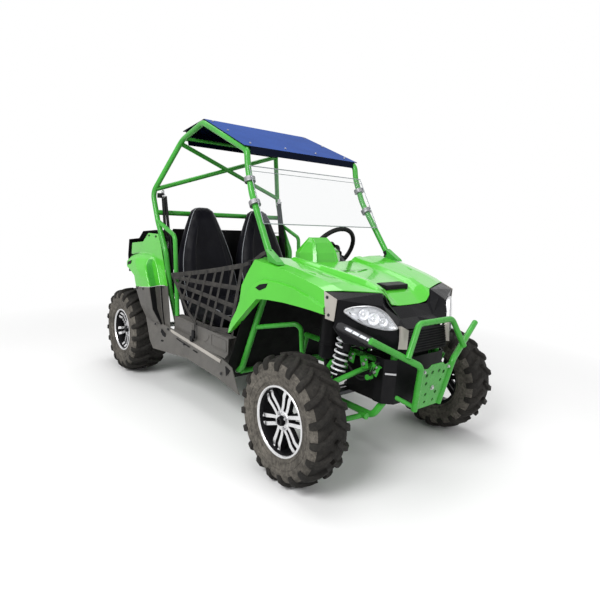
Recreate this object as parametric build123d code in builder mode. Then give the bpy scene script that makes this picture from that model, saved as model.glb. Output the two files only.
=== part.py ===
from build123d import *
import os
from math import atan2, cos, degrees, radians, sin

os.makedirs("parts", exist_ok=True)

# A two-seat off-road side by side with a tube cage.  +X forward, +Y to the driver's left, +Z up;
# the origin is on the ground, on the centre line, midway between the axles.

# ---- driving dimensions, mm ---------------------------------------------------------------
WHEELBASE = 1740.0
TYRE_RADIUS = 280.0
FRONT_TYRE_Y = 536.0          # tyre middle plane from the centre line
FRONT_TYRE_WIDTH = 180.0
FRONT_LIP_RADIUS = 150.0      # rim lip
REAR_TYRE_Y = 516.0
REAR_TYRE_WIDTH = 234.0
REAR_LIP_RADIUS = 137.0
BODY_SIDE_Y = 500.0           # side face of the body at the door opening
HOOD_SIDE_Y = 262.0           # hood edge at the cab
ROOF_RIDGE_UP = 1345.0        # roof ridge above the axles
OVERHANG_FRONT = 335.5        # front of the bumper ahead of the front axle
OVERHANG_REAR = 335.5         # rear bumper behind the rear axle

CAGE_TUBE = 32.0              # tube diameters
CROSS_TUBE = 25.0
ARM_TUBE = 24.0
BUMPER_TUBE = 28.0
PANEL = 4.0                   # moulded panels
SHEET = 3.0                   # sheet metal and webbing
GAP = 0.3                     # seam between two pieces that seat on each other
RUNNING_FIT = 0.05            # radial, at the wheel bearings

RAIL_DROP = 15.0              # lower frame rails below the axles
RAIL_Y = 190.0
UPPER_RAIL_UP = 220.0
UPPER_RAIL_Y = 125.0
SILL_Y = 400.0
SILL_UP = 5.0
FLOOR_UP = 22.0
STEP_UP = 192.0               # top of the rocker step boxes above the axles
ARM_SPREAD = 120.0            # arm pivots ahead of and behind the front axle
KINGPIN_Y = 430.0
STEER_ARM = 90.0              # tie rod behind the kingpin
TIE_ROD_UP = 40.0
SHOCK_TOP_Y = 240.0
SHOCK_TOP_UP = 410.0
SHOCK_FOOT_Y = 312.0
SHOCK_FOOT_UP = 12.0
SPRING_RADIUS = 32.0
SEAT_Y = 217.0
SEAT_WIDTH = 410.0
WHEEL_RADIUS = 165.0          # steering wheel
WHEEL_TILT = 30.0             # its plane from the vertical
WHEEL_CENTRE_Y = 205.0

AXLE_Z = TYRE_RADIUS
FRONT_AXLE_X = WHEELBASE / 2
REAR_AXLE_X = -WHEELBASE / 2
SIDE = BODY_SIDE_Y


def front(ahead, across, up):
    """A point measured from the front axle line."""
    return Vector(FRONT_AXLE_X + ahead, across, AXLE_Z + up)


def rear(ahead, across, up):
    """A point measured from the rear axle line."""
    return Vector(REAR_AXLE_X + ahead, across, AXLE_Z + up)


def mirrored(point):
    """The same point on the other side of the centre line."""
    return Vector(point.X, -point.Y, point.Z)


def tube(points, diameter, bend=0):
    """A round bar along straight runs, bent at the corners."""
    with BuildPart() as bar:
        with BuildLine() as path:
            if bend and len(points) > 2:
                FilletPolyline(*points, radius=bend)
            else:
                Polyline(*points)
        with BuildSketch(Plane(origin=path.wire() @ 0, z_dir=path.wire() % 0)):
            Circle(diameter / 2)
        sweep(transition=Transition.ROUND)
    return bar.part


def prism(corners, push):
    """A flat facet given thickness along a vector."""
    face = Face(Wire.make_polygon(corners, close=True))
    return Solid.extrude(face, Vector(*push))


def folded(corners, facets, push):
    """Facets that share corners, thickened along one vector into a folded panel."""
    with BuildPart() as panel:
        for facet in facets:
            add(prism([corners[key] for key in facet], push))
    return panel.part


def barrel(centre, axis, radius, length, bore=0):
    """A pivot barrel about an axis, centred on a point."""
    with BuildPart() as ring:
        with BuildSketch(Plane(origin=centre, z_dir=axis)):
            Circle(radius)
            if bore:
                Circle(bore, mode=Mode.SUBTRACT)
        extrude(amount=length / 2, both=True)
    return ring.part


# ---- frame --------------------------------------------------------------------------------
BODY_END = OVERHANG_REAR - 120.5
NOSE_POST = OVERHANG_FRONT - 130.5
SILL_FRONT = -606.0
PILLAR_FOOT = front(-329, SIDE - 73, 597)
LEG_BEND = front(-444, SIDE - 100, 395)
LEG_FOOT = front(SILL_FRONT, SILL_Y, SILL_UP)
sill_rear = rear(430, SILL_Y, SILL_UP)

# columns: path points, tube diameter, bend radii
FRAME_TUBES = [
    ([rear(-BODY_END, RAIL_Y + 15, 210), rear(220, RAIL_Y + 15, 190), rear(400, RAIL_Y, -RAIL_DROP),
      front(145, RAIL_Y, -RAIL_DROP), front(NOSE_POST, RAIL_Y - 30, 100),
      front(NOSE_POST, RAIL_Y - 40, 280)], CAGE_TUBE, 45),
    ([front(-414, UPPER_RAIL_Y, UPPER_RAIL_UP), front(155, UPPER_RAIL_Y, UPPER_RAIL_UP),
      front(NOSE_POST, RAIL_Y - 36, UPPER_RAIL_UP)], BUMPER_TUBE, 40),
    ([front(-400, RAIL_Y, -RAIL_DROP), front(-400, UPPER_RAIL_Y, UPPER_RAIL_UP)], ARM_TUBE, 0),
    ([front(-160, RAIL_Y, -RAIL_DROP), front(-160, UPPER_RAIL_Y, UPPER_RAIL_UP)], ARM_TUBE, 0),
    ([sill_rear, LEG_FOOT, LEG_BEND, PILLAR_FOOT], CAGE_TUBE, [60, 150]),
    ([front(-478, SILL_Y, 275), front(-267, SILL_Y - 110, 328), front(-280, SILL_Y - 138, 190),
      front(-285, RAIL_Y, -RAIL_DROP)], ARM_TUBE, 35),
]
# columns: half-span point; each is a tube straight across the frame
CROSS_MEMBERS = [
    rear(-BODY_END, RAIL_Y + 15, 210),
    rear(220, RAIL_Y + 15, 190),
    rear(430, SILL_Y, SILL_UP),
    front(SILL_FRONT, SILL_Y, SILL_UP),
    front(-400, RAIL_Y, -RAIL_DROP),
    front(-160, UPPER_RAIL_Y, UPPER_RAIL_UP),
    front(NOSE_POST, RAIL_Y - 40, 280),
    front(NOSE_POST, RAIL_Y - 30, 100),
]
TOWER_Y = 170.0
HITCH_PLATE = (70.0, 70.0, 8.0)
HITCH_HOLE = 8.0
HITCH_BEHIND = 35.0           # hitch hole behind the rear cross member
SHOCK_EYE = 40.0
BRACKET = 5.0
EAR_ROOT_Y = TOWER_Y - 25
EAR_TIP_Y = SHOCK_TOP_Y + 22
with BuildPart() as main_frame:
    for points, diameter, bend in FRAME_TUBES:
        add(tube(points, diameter, bend))
    mirror(about=Plane.XZ)
    for half in CROSS_MEMBERS:
        add(tube([half, mirrored(half)], BUMPER_TUBE))
    with BuildSketch(Plane(origin=rear(-BODY_END - HITCH_BEHIND, 0, 210 - HITCH_PLATE[2] / 2))):
        Rectangle(HITCH_PLATE[0], HITCH_PLATE[1])
        Circle(HITCH_HOLE, mode=Mode.SUBTRACT)
    extrude(amount=HITCH_PLATE[2])
    # shock towers: arches across the upper rails and across the rear rails
    add(tube([front(0, UPPER_RAIL_Y, UPPER_RAIL_UP), front(0, TOWER_Y, 420),
              front(0, -TOWER_Y, 420), front(0, -UPPER_RAIL_Y, UPPER_RAIL_UP)], ARM_TUBE, 40))
    add(tube([rear(150, RAIL_Y + 15, 200), rear(70, RAIL_Y + 15, 425),
              rear(70, -RAIL_Y - 15, 425), rear(150, -RAIL_Y - 15, 200)], ARM_TUBE, 40))
    # ears that hold the tops of the front shocks
    for reach in (-1, 1):
        for side in (-1, 1):
            middle = front(reach * (SHOCK_EYE / 2 + GAP + BRACKET / 2),
                           side * (EAR_ROOT_Y + EAR_TIP_Y) / 2, SHOCK_TOP_UP)
            with BuildSketch(Plane(origin=middle, x_dir=(0, 1, 0), z_dir=(1, 0, 0))):
                Rectangle(EAR_TIP_Y - EAR_ROOT_Y, CAGE_TUBE)
            extrude(amount=BRACKET / 2, both=True)
    for side in (-1, 1):
        with BuildSketch(Plane(origin=front(0, side * (TOWER_Y - 4), SHOCK_TOP_UP - CAGE_TUBE / 2))):
            Rectangle(SHOCK_EYE + 2 * (GAP + BRACKET), 34)
        extrude(amount=CAGE_TUBE)
# the frame is welded from sections, which meet on flat cuts
SECTION_FRONT_X = 245.0       # behind the cross member at the front of the sills
SECTION_REAR_X = -420.0       # ahead of the cross member behind the seats
LEG_SECTION_Y = 235.0
LEG_SECTION_X = 750.0
FAR = 1500.0


def section(low, high):
    """The part of the frame inside a box given by two corners."""
    with BuildPart() as cut:
        add(main_frame.part)
        with BuildSketch(Plane(origin=Vector((low[0] + high[0]) / 2, (low[1] + high[1]) / 2, low[2]))):
            Rectangle(high[0] - low[0], high[1] - low[1])
        extrude(amount=high[2] - low[2], mode=Mode.INTERSECT)
    return cut.part


frame_sections = {
    "rear_frame": section((-FAR, -FAR, 0), (SECTION_REAR_X, FAR, FAR)),
    "cab_rails": section((SECTION_REAR_X, -FAR, 0), (SECTION_FRONT_X, FAR, FAR)),
}
for side, name in ((1, "left"), (-1, "right")):
    near, far = sorted((side * LEG_SECTION_Y, side * FAR))
    frame_sections[f"front_legs_{name}"] = section((SECTION_FRONT_X, near, 0), (LEG_SECTION_X, far, FAR))
    near, far = sorted((0, side * FAR))
    with BuildPart() as front_rails:
        add(section((SECTION_FRONT_X, near, 0), (FAR, far, FAR)))
        add(frame_sections[f"front_legs_{name}"], mode=Mode.SUBTRACT)
    frame_sections[f"front_rails_{name}"] = front_rails.part
for name, part in frame_sections.items():
    part.label = name
    export_step(part, f"parts/{name}.step")

# ---- cage ---------------------------------------------------------------------------------
ROOF_SLOPE = 174.0            # fall of the roof from its ridge to its front edge
ROOF_FRONT = -651.0           # roof front edge from the front axle
ROOF_RIDGE = 617.0            # ridge from the rear axle
ROOF_REAR = 330.0             # roof rear edge from the rear axle
RAIL_UNDER = 22.0             # roof rail centre under the roof surface
HOOP_FRONT_Y = SIDE - 112
HOOP_RIDGE_Y = SIDE - 120
HOOP_REAR_Y = SIDE - 140
HOOP_KINK_Y = SIDE - 7
HOOP = [
    PILLAR_FOOT,
    front(-577, SIDE - 102, 935),
    front(-636, SIDE - 111, 1070),
    front(ROOF_FRONT, HOOP_FRONT_Y, ROOF_RIDGE_UP - ROOF_SLOPE - RAIL_UNDER),
    rear(ROOF_RIDGE, HOOP_RIDGE_Y, ROOF_RIDGE_UP - RAIL_UNDER),
    rear(ROOF_REAR - 5, HOOP_REAR_Y, ROOF_RIDGE_UP - 95),
    rear(200, HOOP_KINK_Y, 921),
    rear(270, SIDE - 10, 747),
    rear(390, SIDE - 10, 565),
    rear(420, SIDE - 30, 320),
    rear(430, SILL_Y, SILL_UP),
]
HOOP_BENDS = [220, 220, 50, 80, 70, 100, 200, 120, 90]
GUARD = [rear(262, SIDE - 10, 752), rear(491, SIDE - 20, 671), rear(541, SIDE - 20, STEP_UP + 2)]
GUSSET = [(-345, 624), (-272, 616), (-283, 628), (-372, 678)]


def cage_hoop(diameter):
    """One side hoop of the cage, from the pillar foot round to the sill."""
    return tube(HOOP, diameter, HOOP_BENDS)


hoop_cutter = cage_hoop(CAGE_TUBE + 2 * GAP)
sill_cutter = tube([sill_rear, LEG_FOOT], CAGE_TUBE + 2 * GAP)
cross_cutter = tube([sill_rear, mirrored(sill_rear)], CAGE_TUBE + 2 * GAP)
leg_cutter = tube([LEG_BEND, PILLAR_FOOT + (PILLAR_FOOT - LEG_BEND).normalized() * GAP],
                  CAGE_TUBE + 2 * GAP)
with BuildPart() as cage_hoops:
    add(cage_hoop(CAGE_TUBE))
    add(tube(GUARD, CAGE_TUBE - 6, 45))
    with BuildSketch(Plane.XZ.offset(-(SIDE - 73 + 20))):
        with BuildLine():
            Polyline(*[(FRONT_AXLE_X + ahead, AXLE_Z + up) for ahead, up in GUSSET], close=True)
        make_face()
    extrude(amount=40)
    add([sill_cutter, cross_cutter, leg_cutter], mode=Mode.SUBTRACT)
    mirror(about=Plane.XZ)
cage_hoops.part.label = "cage_hoops"
export_step(cage_hoops.part, "parts/cage_hoops.step")

# columns: half-span point, tube diameter
CAGE_CROSS = [
    (front(ROOF_FRONT - 30, HOOP_FRONT_Y, ROOF_RIDGE_UP - ROOF_SLOPE - RAIL_UNDER + 11), CROSS_TUBE),
    (rear(ROOF_REAR + 18, HOOP_REAR_Y, ROOF_RIDGE_UP - 90), CROSS_TUBE),
    (rear(249, HOOP_KINK_Y, 800), CAGE_TUBE),
]
with BuildPart() as cage_cross_tubes:
    for half, diameter in CAGE_CROSS:
        add(tube([half, mirrored(half)], diameter))
    add([hoop_cutter, hoop_cutter.mirror(Plane.XZ)], mode=Mode.SUBTRACT)
    kept = cage_cross_tubes.part.solids().sort_by(SortBy.VOLUME)[-len(CAGE_CROSS):]
    add(kept, mode=Mode.REPLACE)
cage_cross_tubes.part.label = "cage_cross_tubes"
export_step(cage_cross_tubes.part, "parts/cage_cross_tubes.step")

brace_top = rear(317, HOOP_REAR_Y - 1, 1225)
brace_foot = rear(213, HOOP_KINK_Y - 10, 942)
with BuildPart() as cage_x_brace:
    add(tube([brace_top, mirrored(brace_foot)], BUMPER_TUBE))
    add(tube([mirrored(brace_top), brace_foot], BUMPER_TUBE))
    add([hoop_cutter, hoop_cutter.mirror(Plane.XZ)], mode=Mode.SUBTRACT)
    kept = cage_x_brace.part.solids().sort_by(SortBy.VOLUME)[-1:]
    add(kept, mode=Mode.REPLACE)
cage_x_brace.part.label = "cage_x_brace"
export_step(cage_x_brace.part, "parts/cage_x_brace.step")

# ---- roof and windshield ------------------------------------------------------------------
ROOF_FRONT_Y = SIDE - 95
ROOF_RIDGE_Y = SIDE - 125
ROOF_REAR_Y = SIDE - 140
LIP_Y = HOOP_REAR_Y - CAGE_TUBE / 2 - 4
roof = {
    "front": front(ROOF_FRONT, ROOF_FRONT_Y, ROOF_RIDGE_UP - ROOF_SLOPE),
    "ridge": rear(ROOF_RIDGE, ROOF_RIDGE_Y, ROOF_RIDGE_UP),
    "rear": rear(ROOF_REAR, ROOF_REAR_Y, ROOF_RIDGE_UP - 43),
    "lip": front(ROOF_FRONT + 1, HOOP_FRONT_Y - CAGE_TUBE / 2 - 4, ROOF_RIDGE_UP - ROOF_SLOPE - 1),
    "lip_low": front(ROOF_FRONT + 5, HOOP_FRONT_Y - CAGE_TUBE / 2 - 4, ROOF_RIDGE_UP - ROOF_SLOPE - 37),
    "tail": rear(ROOF_REAR + 4, LIP_Y, ROOF_RIDGE_UP - 44),
    "tail_low": rear(ROOF_REAR + 40, LIP_Y, ROOF_RIDGE_UP - 128),
}
roof.update({key + "_other": mirrored(point) for key, point in list(roof.items())})
rear_header_cutter = tube([CAGE_CROSS[1][0], mirrored(CAGE_CROSS[1][0])], CROSS_TUBE + 2 * GAP)
with BuildPart() as roof_panel:
    add(folded(roof, [("front", "front_other", "ridge_other", "ridge"),
                      ("ridge", "ridge_other", "rear_other", "rear")], (0, 0, -PANEL)))
    add(folded(roof, [("lip", "lip_other", "lip_low_other", "lip_low"),
                      ("tail", "tail_other", "tail_low_other", "tail_low")], (-SHEET, 0, 0)))
    add(rear_header_cutter, mode=Mode.SUBTRACT)
roof_panel.part.label = "roof_panel"
export_step(roof_panel.part, "parts/roof_panel.step")

# the windshield leans on the pillars, held by two clamps on each
lower_run = (HOOP[1] - HOOP[0]).normalized()
upper_run = (HOOP[2] - HOOP[1]).normalized()
LOW_CLAMP = HOOP[0] + (HOOP[1] - HOOP[0]) * 0.855
HIGH_CLAMP = HOOP[1] + (HOOP[2] - HOOP[1]) * 0.49
FOOT_REST = HOOP[0] + (HOOP[1] - HOOP[0]) * 0.58
CLAMP_RADIUS = CAGE_TUBE / 2 + 5
CLAMP_LENGTH = 24.0


def ahead_of(run):
    """The direction square to a pillar run, in its side view, that points forward."""
    return Vector(run.Z, 0, -run.X).normalized()


foot_at = FOOT_REST + ahead_of(lower_run) * (CAGE_TUBE / 2 + 2)
head_at = HIGH_CLAMP + ahead_of(upper_run) * (CLAMP_RADIUS + 9)
screen_run = Vector(head_at.X - foot_at.X, 0, head_at.Z - foot_at.Z).normalized()
screen_out = ahead_of(screen_run)


def screen(up, half_width):
    """A point on the rear face of the windshield at a height above the axles."""
    rise = (AXLE_Z + up - foot_at.Z) / screen_run.Z
    return Vector(foot_at.X + screen_run.X * rise, half_width, AXLE_Z + up)


glass = {"foot": screen(792, SIDE - 90), "head": screen(1072, SIDE - 102)}
glass.update({key + "_other": mirrored(point) for key, point in list(glass.items())})
with BuildPart() as windshield:
    add(folded(glass, [("foot", "foot_other", "head_other", "head")], (PANEL, 0, 0)))
windshield.part.label = "windshield"
export_step(windshield.part, "parts/windshield.step")

with BuildPart() as windshield_clamps:
    for spot, run in ((LOW_CLAMP, lower_run), (HIGH_CLAMP, upper_run)):
        reach = (foot_at - spot).dot(screen_out)
        tilt = CLAMP_LENGTH / 2 * abs(ahead_of(run).cross(screen_out).length)
        add(barrel(spot, run, reach - tilt - GAP, CLAMP_LENGTH, CAGE_TUBE / 2 + GAP))
    mirror(about=Plane.XZ)
windshield_clamps.part.label = "windshield_clamps"
export_step(windshield_clamps.part, "parts/windshield_clamps.step")

# ---- hood, fenders and front fascia -------------------------------------------------------
CREST_REAR = front(-415, SIDE - 24, 625)
CREST_MID = front(-164, SIDE - 58, 591)
CREST_FRONT = front(18, SIDE - 82.5, 543)
STRIPE_REAR = front(-415, HOOD_SIDE_Y, 628)
STRIPE_FRONT = front(120, HOOD_SIDE_Y - 90, 538)
hood_at = {
    "cab": front(-415, 0, 610), "cab_in": front(-415, HOOD_SIDE_Y - 62, 613), "cab_out": STRIPE_REAR,
    "scoop": front(35, 0, 546), "scoop_in": front(35, HOOD_SIDE_Y - 167, 548),
    "nose": front(142, 0, 476), "nose_in": front(142, HOOD_SIDE_Y - 136, 478), "nose_out": STRIPE_FRONT,
}
HOOD_FACETS = [
    ("cab", "cab_in", "scoop_in"), ("cab", "scoop_in", "scoop"),
    ("scoop", "scoop_in", "nose_in"), ("scoop", "nose_in", "nose"),
    ("cab_in", "cab_out", "nose_out"), ("cab_in", "nose_out", "scoop_in"),
    ("scoop_in", "nose_out", "nose_in"),
]
SCOOP = (42.0, 150.0, 26.0)   # length, width and height of the air scoop
scoop_seat = front(44, 0, 532)
with BuildPart() as hood:
    add(folded(hood_at, HOOD_FACETS, (0, 0, -PANEL)))
    mirror(about=Plane.XZ)
    with BuildSketch(Plane(origin=scoop_seat)):
        Rectangle(SCOOP[0] + 2 * GAP, SCOOP[1] + 2 * GAP)
    extrude(amount=SCOOP[2] * 2, both=True, mode=Mode.SUBTRACT)
hood.part.label = "hood"
export_step(hood.part, "parts/hood.step")

with BuildPart() as hood_scoop:
    with BuildSketch(Plane(origin=scoop_seat - Vector(0, 0, SCOOP[2] / 2))):
        Rectangle(SCOOP[0], SCOOP[1])
    extrude(amount=SCOOP[2])
    offset(amount=-PANEL, openings=hood_scoop.faces().sort_by(Axis.X)[-1])
hood_scoop.part.label = "hood_scoop"
export_step(hood_scoop.part, "parts/hood_scoop.step")

fender_at = {
    "stripe_rear": STRIPE_REAR + Vector(0, 1, 0), "stripe_front": STRIPE_FRONT + Vector(-2, 1, 0),
    "crest_rear": CREST_REAR, "crest_mid": CREST_MID, "crest_front": CREST_FRONT,
}
FENDER_TOP = [
    ("stripe_rear", "crest_rear", "crest_mid"), ("stripe_rear", "crest_mid", "stripe_front"),
    ("stripe_front", "crest_mid", "crest_front"),
]
# side outline: distance ahead of the front axle, height above it
FENDER_SIDE = [
    (-415, 625), (-496, 502), (-513, 365), (-557, 320), (-589, 230), (-492, 318), (-372, 443),
    (-102, 454), (38, 449), (18, 543), (-164, 591),
]
FENDER_TAPER = 0.135          # the side wall runs inboard towards the nose


def fender_wall(ahead, up):
    """A point on the tapering side wall of the front fender."""
    return front(ahead, SIDE - FENDER_TAPER * (ahead + 589), up)


leg_hole = tube([LEG_BEND, PILLAR_FOOT, HOOP[1]], CAGE_TUBE + 4)
with BuildPart() as front_fenders:
    add(folded(fender_at, FENDER_TOP, (0, 0, -PANEL)))
    add(prism([fender_wall(*spot) for spot in FENDER_SIDE], (0, -PANEL, 0)))
    add(leg_hole, mode=Mode.SUBTRACT)
    mirror(about=Plane.XZ)
front_fenders.part.label = "front_fenders"
export_step(front_fenders.part, "parts/front_fenders.step")

FASCIA_Y = SIDE - 90
fascia_at = {
    "top_mid": front(146, 0, 474), "top_in": front(146, HOOD_SIDE_Y - 134, 476),
    "top_stripe": front(124, HOOD_SIDE_Y - 88, 536), "top_out": front(26, FASCIA_Y, 540),
    "brow_mid": front(190, 0, 432), "brow_in": front(190, 115, 430), "brow_lamp": front(178, 222, 492),
    "brow_out": front(92, FASCIA_Y - 4, 517),
    "face_mid": front(238, 0, 388), "face_in": front(244, 138, 400), "face_lamp": front(232, 192, 398),
    "face_out": front(86, FASCIA_Y, 425),
    "edge_mid": front(252, 0, 300), "edge_in": front(254, 150, 290), "edge_out": front(112, 374, 336),
    "edge_back": front(82, FASCIA_Y + 6, 403),
}
FASCIA_FACETS = [
    ("top_mid", "top_in", "brow_in"), ("top_mid", "brow_in", "brow_mid"),
    ("top_in", "top_stripe", "brow_lamp"), ("top_in", "brow_lamp", "brow_in"),
    ("top_stripe", "top_out", "brow_out"), ("top_stripe", "brow_out", "brow_lamp"),
    ("brow_mid", "brow_in", "face_in"), ("brow_mid", "face_in", "face_mid"),
    ("brow_in", "brow_lamp", "face_lamp"), ("brow_in", "face_lamp", "face_in"),
    ("brow_lamp", "brow_out", "face_out"), ("brow_lamp", "face_out", "face_lamp"),
    ("top_out", "brow_out", "face_out"),
    ("face_in", "face_lamp", "edge_in"), ("face_lamp", "face_out", "edge_out"),
    ("face_lamp", "edge_out", "edge_in"), ("face_out", "edge_back", "edge_out"),
]
LAMP = [(112, 372, 476), (172, 276, 489), (205, 238, 470), (231, 194, 405), (172, 286, 404)]
LAMP_OUT = Vector(0.72, 0.5, 0.12)
lamp_corner = [front(*spot) for spot in LAMP]
lamp_plane = Plane(origin=lamp_corner[0], z_dir=(lamp_corner[3] - lamp_corner[0]).cross(
    lamp_corner[1] - lamp_corner[0]))


def lamp(grow):
    """A headlight body, leaf-shaped, set through the fascia."""
    flat = [spot - lamp_plane.z_dir * (spot - lamp_plane.origin).dot(lamp_plane.z_dir)
            for spot in lamp_corner]
    heart = sum(flat, Vector()) * (1 / len(flat))
    spread = [spot + (spot - heart).normalized() * grow for spot in flat]
    return prism([spot - LAMP_OUT * 30 for spot in spread], LAMP_OUT * 36)


with BuildPart() as front_fascia:
    add(folded(fascia_at, FASCIA_FACETS, (-PANEL * 0.9, -PANEL * 0.4, -PANEL * 0.5)))
    mirror(about=Plane.XZ)
    add([lamp(GAP), lamp(GAP).mirror(Plane.XZ)], mode=Mode.SUBTRACT)
front_fascia.part.label = "front_fascia"
export_step(front_fascia.part, "parts/front_fascia.step")

with BuildPart() as headlights:
    add(lamp(0))
    mirror(about=Plane.XZ)
headlights.part.label = "headlights"
export_step(headlights.part, "parts/headlights.step")

# ---- front trim ---------------------------------------------------------------------------
LED = [(112, 378, 408), (118, 366, 390), (172, 288, 344), (178, 282, 352), (172, 292, 362)]
LED_OUT = Vector(0.76, 0.6, 0.25)
LED_DEPTH = 6.0               # of the strip's body behind its face
with BuildPart() as led_strips:
    led_corner = [front(*spot) for spot in LED]
    led_plane = Plane(origin=led_corner[0], z_dir=(led_corner[2] - led_corner[0]).cross(
        led_corner[1] - led_corner[0]))
    add(prism([spot - led_plane.z_dir * (spot - led_plane.origin).dot(led_plane.z_dir) - LED_OUT * LED_DEPTH
               for spot in led_corner], LED_OUT * (LED_DEPTH + 8)))
    mirror(about=Plane.XZ)
    add(front_fascia.part, mode=Mode.SUBTRACT)
    kept = led_strips.part.solids().sort_by(SortBy.VOLUME)[-2:]
    add(kept, mode=Mode.REPLACE)
led_strips.part.label = "led_strips"
export_step(led_strips.part, "parts/led_strips.step")

# columns: corners of a light-coloured corner plate, and the vector to its other face
ACCENTS = [
    ([(18, FASCIA_Y + 7, 543), (92, FASCIA_Y + 2, 519), (87, FASCIA_Y + 7, 427), (40, FASCIA_Y + 11, 430)],
     (0, SHEET, 0)),
    ([(245, 176, 416), (258, 139, 396), (270, 155, 318), (252, 178, 318)], (-18, -3, -5)),
    ([(150, 140, 476), (132, 168, 530), (166, 186, 500), (188, 128, 436)], (0, 0, SHEET)),
]
with BuildPart() as fascia_accents:
    for spots, face_out in ACCENTS:
        plate = {str(index): front(*spot) for index, spot in enumerate(spots)}
        add(folded(plate, [("0", "1", "2"), ("0", "2", "3")], face_out))
    mirror(about=Plane.XZ)
    add([front_fascia.part, front_fenders.part], mode=Mode.SUBTRACT)
    kept = fascia_accents.part.solids().sort_by(SortBy.VOLUME)[-2 * len(ACCENTS):]
    add(kept, mode=Mode.REPLACE)
fascia_accents.part.label = "fascia_accents"
export_step(fascia_accents.part, "parts/fascia_accents.step")

GRILLE_HALF = 156.0
grille_at = {
    "head": front(244, 0, 392), "head_side": front(244, GRILLE_HALF - 14, 392),
    "foot": front(255, 0, 288), "foot_side": front(255, GRILLE_HALF, 288),
}
with BuildPart() as grille:
    add(folded(grille_at, [("head", "head_side", "foot_side", "foot")], (-PANEL, 0, 0)))
    mirror(about=Plane.XZ)
    add([front_fascia.part, fascia_accents.part], mode=Mode.SUBTRACT)
    kept = grille.part.solids().sort_by(SortBy.VOLUME)[-1:]
    add(kept, mode=Mode.REPLACE)
grille.part.label = "grille"
export_step(grille.part, "parts/grille.step")

BEND_REACH = 9.5              # the bumper's corner points stand ahead of its bends
NOSE_X = OVERHANG_FRONT + BEND_REACH - BUMPER_TUBE / 2
bumper_lower_end = front(NOSE_X - 41, 87, 38)
BUMPER_SIDE = [front(260, 378, 381), front(NOSE_X - 7, 117, 252), bumper_lower_end]
BUMPER_HOOP = [front(NOSE_X - 14, 206, 298), front(NOSE_X - 38, 121, 431),
               front(NOSE_X - 38, -121, 431), front(NOSE_X - 14, -206, 298)]
with BuildPart() as front_bumper:
    add(tube(BUMPER_SIDE, BUMPER_TUBE, 45))
    add(tube([bumper_lower_end + Vector(0, 0, 14), front(NOSE_POST + 17, RAIL_Y - 30, 98)], ARM_TUBE - 4))
    mirror(about=Plane.XZ)
    add(tube(BUMPER_HOOP, BUMPER_TUBE - 2, 40))
    add(main_frame.part, mode=Mode.SUBTRACT)
    kept = front_bumper.part.solids().sort_by(SortBy.VOLUME)[-1:]
    add(kept, mode=Mode.REPLACE)
front_bumper.part.label = "front_bumper"
export_step(front_bumper.part, "parts/front_bumper.step")

SHROUD_Y = 205.0
with BuildPart() as lower_shroud:
    with BuildSketch(Plane.XY.offset(AXLE_Z + 62)):
        with BuildLine():
            Polyline((FRONT_AXLE_X + 236, SHROUD_Y - 40), (FRONT_AXLE_X + 196, SHROUD_Y),
                     (FRONT_AXLE_X + 150, SHROUD_Y), (FRONT_AXLE_X + 150, -SHROUD_Y),
                     (FRONT_AXLE_X + 196, -SHROUD_Y), (FRONT_AXLE_X + 236, 40 - SHROUD_Y), close=True)
        make_face()
    extrude(amount=200)
    back_face = lower_shroud.faces().sort_by(Axis.X)[0]
    ends = lower_shroud.faces().filter_by(Axis.Z)
    offset(amount=-PANEL, openings=[back_face, *ends])
    add(front_bumper.part, mode=Mode.SUBTRACT)
    kept = lower_shroud.part.solids().sort_by(SortBy.VOLUME)[-1:]
    add(kept, mode=Mode.REPLACE)
lower_shroud.part.label = "lower_shroud"
export_step(lower_shroud.part, "parts/lower_shroud.step")

# skid plate: welded in behind the lower bumper tubes, with round lightening holes
SKID_TILT = degrees(atan2(34.0, 214.0))
SKID_HEIGHT = 200.0
skid_centre = front(NOSE_X - 26, 0, 140)
skid_plane = Plane(origin=skid_centre, x_dir=(0, 1, 0), z_dir=(cos(radians(SKID_TILT)), 0,
                                                              -sin(radians(SKID_TILT))))
# columns: across, up, radius
SKID_HOLES = [(-62, 62, 9), (-24, 72, 9), (24, 72, 9), (62, 62, 9), (-52, 22, 8), (52, 22, 8),
              (-36, -34, 8), (36, -34, 8), (-30, -72, 7), (30, -72, 7)]
with BuildPart() as skid_plate:
    with BuildSketch(skid_plane):
        with BuildLine():
            Polyline((-78, -SKID_HEIGHT / 2), (78, -SKID_HEIGHT / 2), (108, SKID_HEIGHT / 2),
                     (60, SKID_HEIGHT / 2 - 6), (40, SKID_HEIGHT / 2 + 10), (-40, SKID_HEIGHT / 2 + 10),
                     (-60, SKID_HEIGHT / 2 - 6), (-108, SKID_HEIGHT / 2), close=True)
        make_face()
        for across, up, radius in SKID_HOLES:
            with Locations((across, up)):
                Circle(radius, mode=Mode.SUBTRACT)
    extrude(amount=PANEL)
    add(front_bumper.part, mode=Mode.SUBTRACT)
    kept = skid_plate.part.solids().sort_by(SortBy.VOLUME)[-1:]
    add(kept, mode=Mode.REPLACE)
skid_plate.part.label = "skid_plate"
export_step(skid_plate.part, "parts/skid_plate.step")

# ---- cab ----------------------------------------------------------------------------------
FIREWALL_RUN = 0.42           # run over rise, alongside the sloping legs
FIREWALL_BACK = 26.0          # behind the leg centre line
CAB_FRONT = SILL_FRONT - FIREWALL_BACK
DASH_UP = 604.0


def firewall_x(up):
    """Distance ahead of the front axle of the firewall's rear face."""
    return CAB_FRONT + FIREWALL_RUN * (up - SILL_UP)


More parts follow.
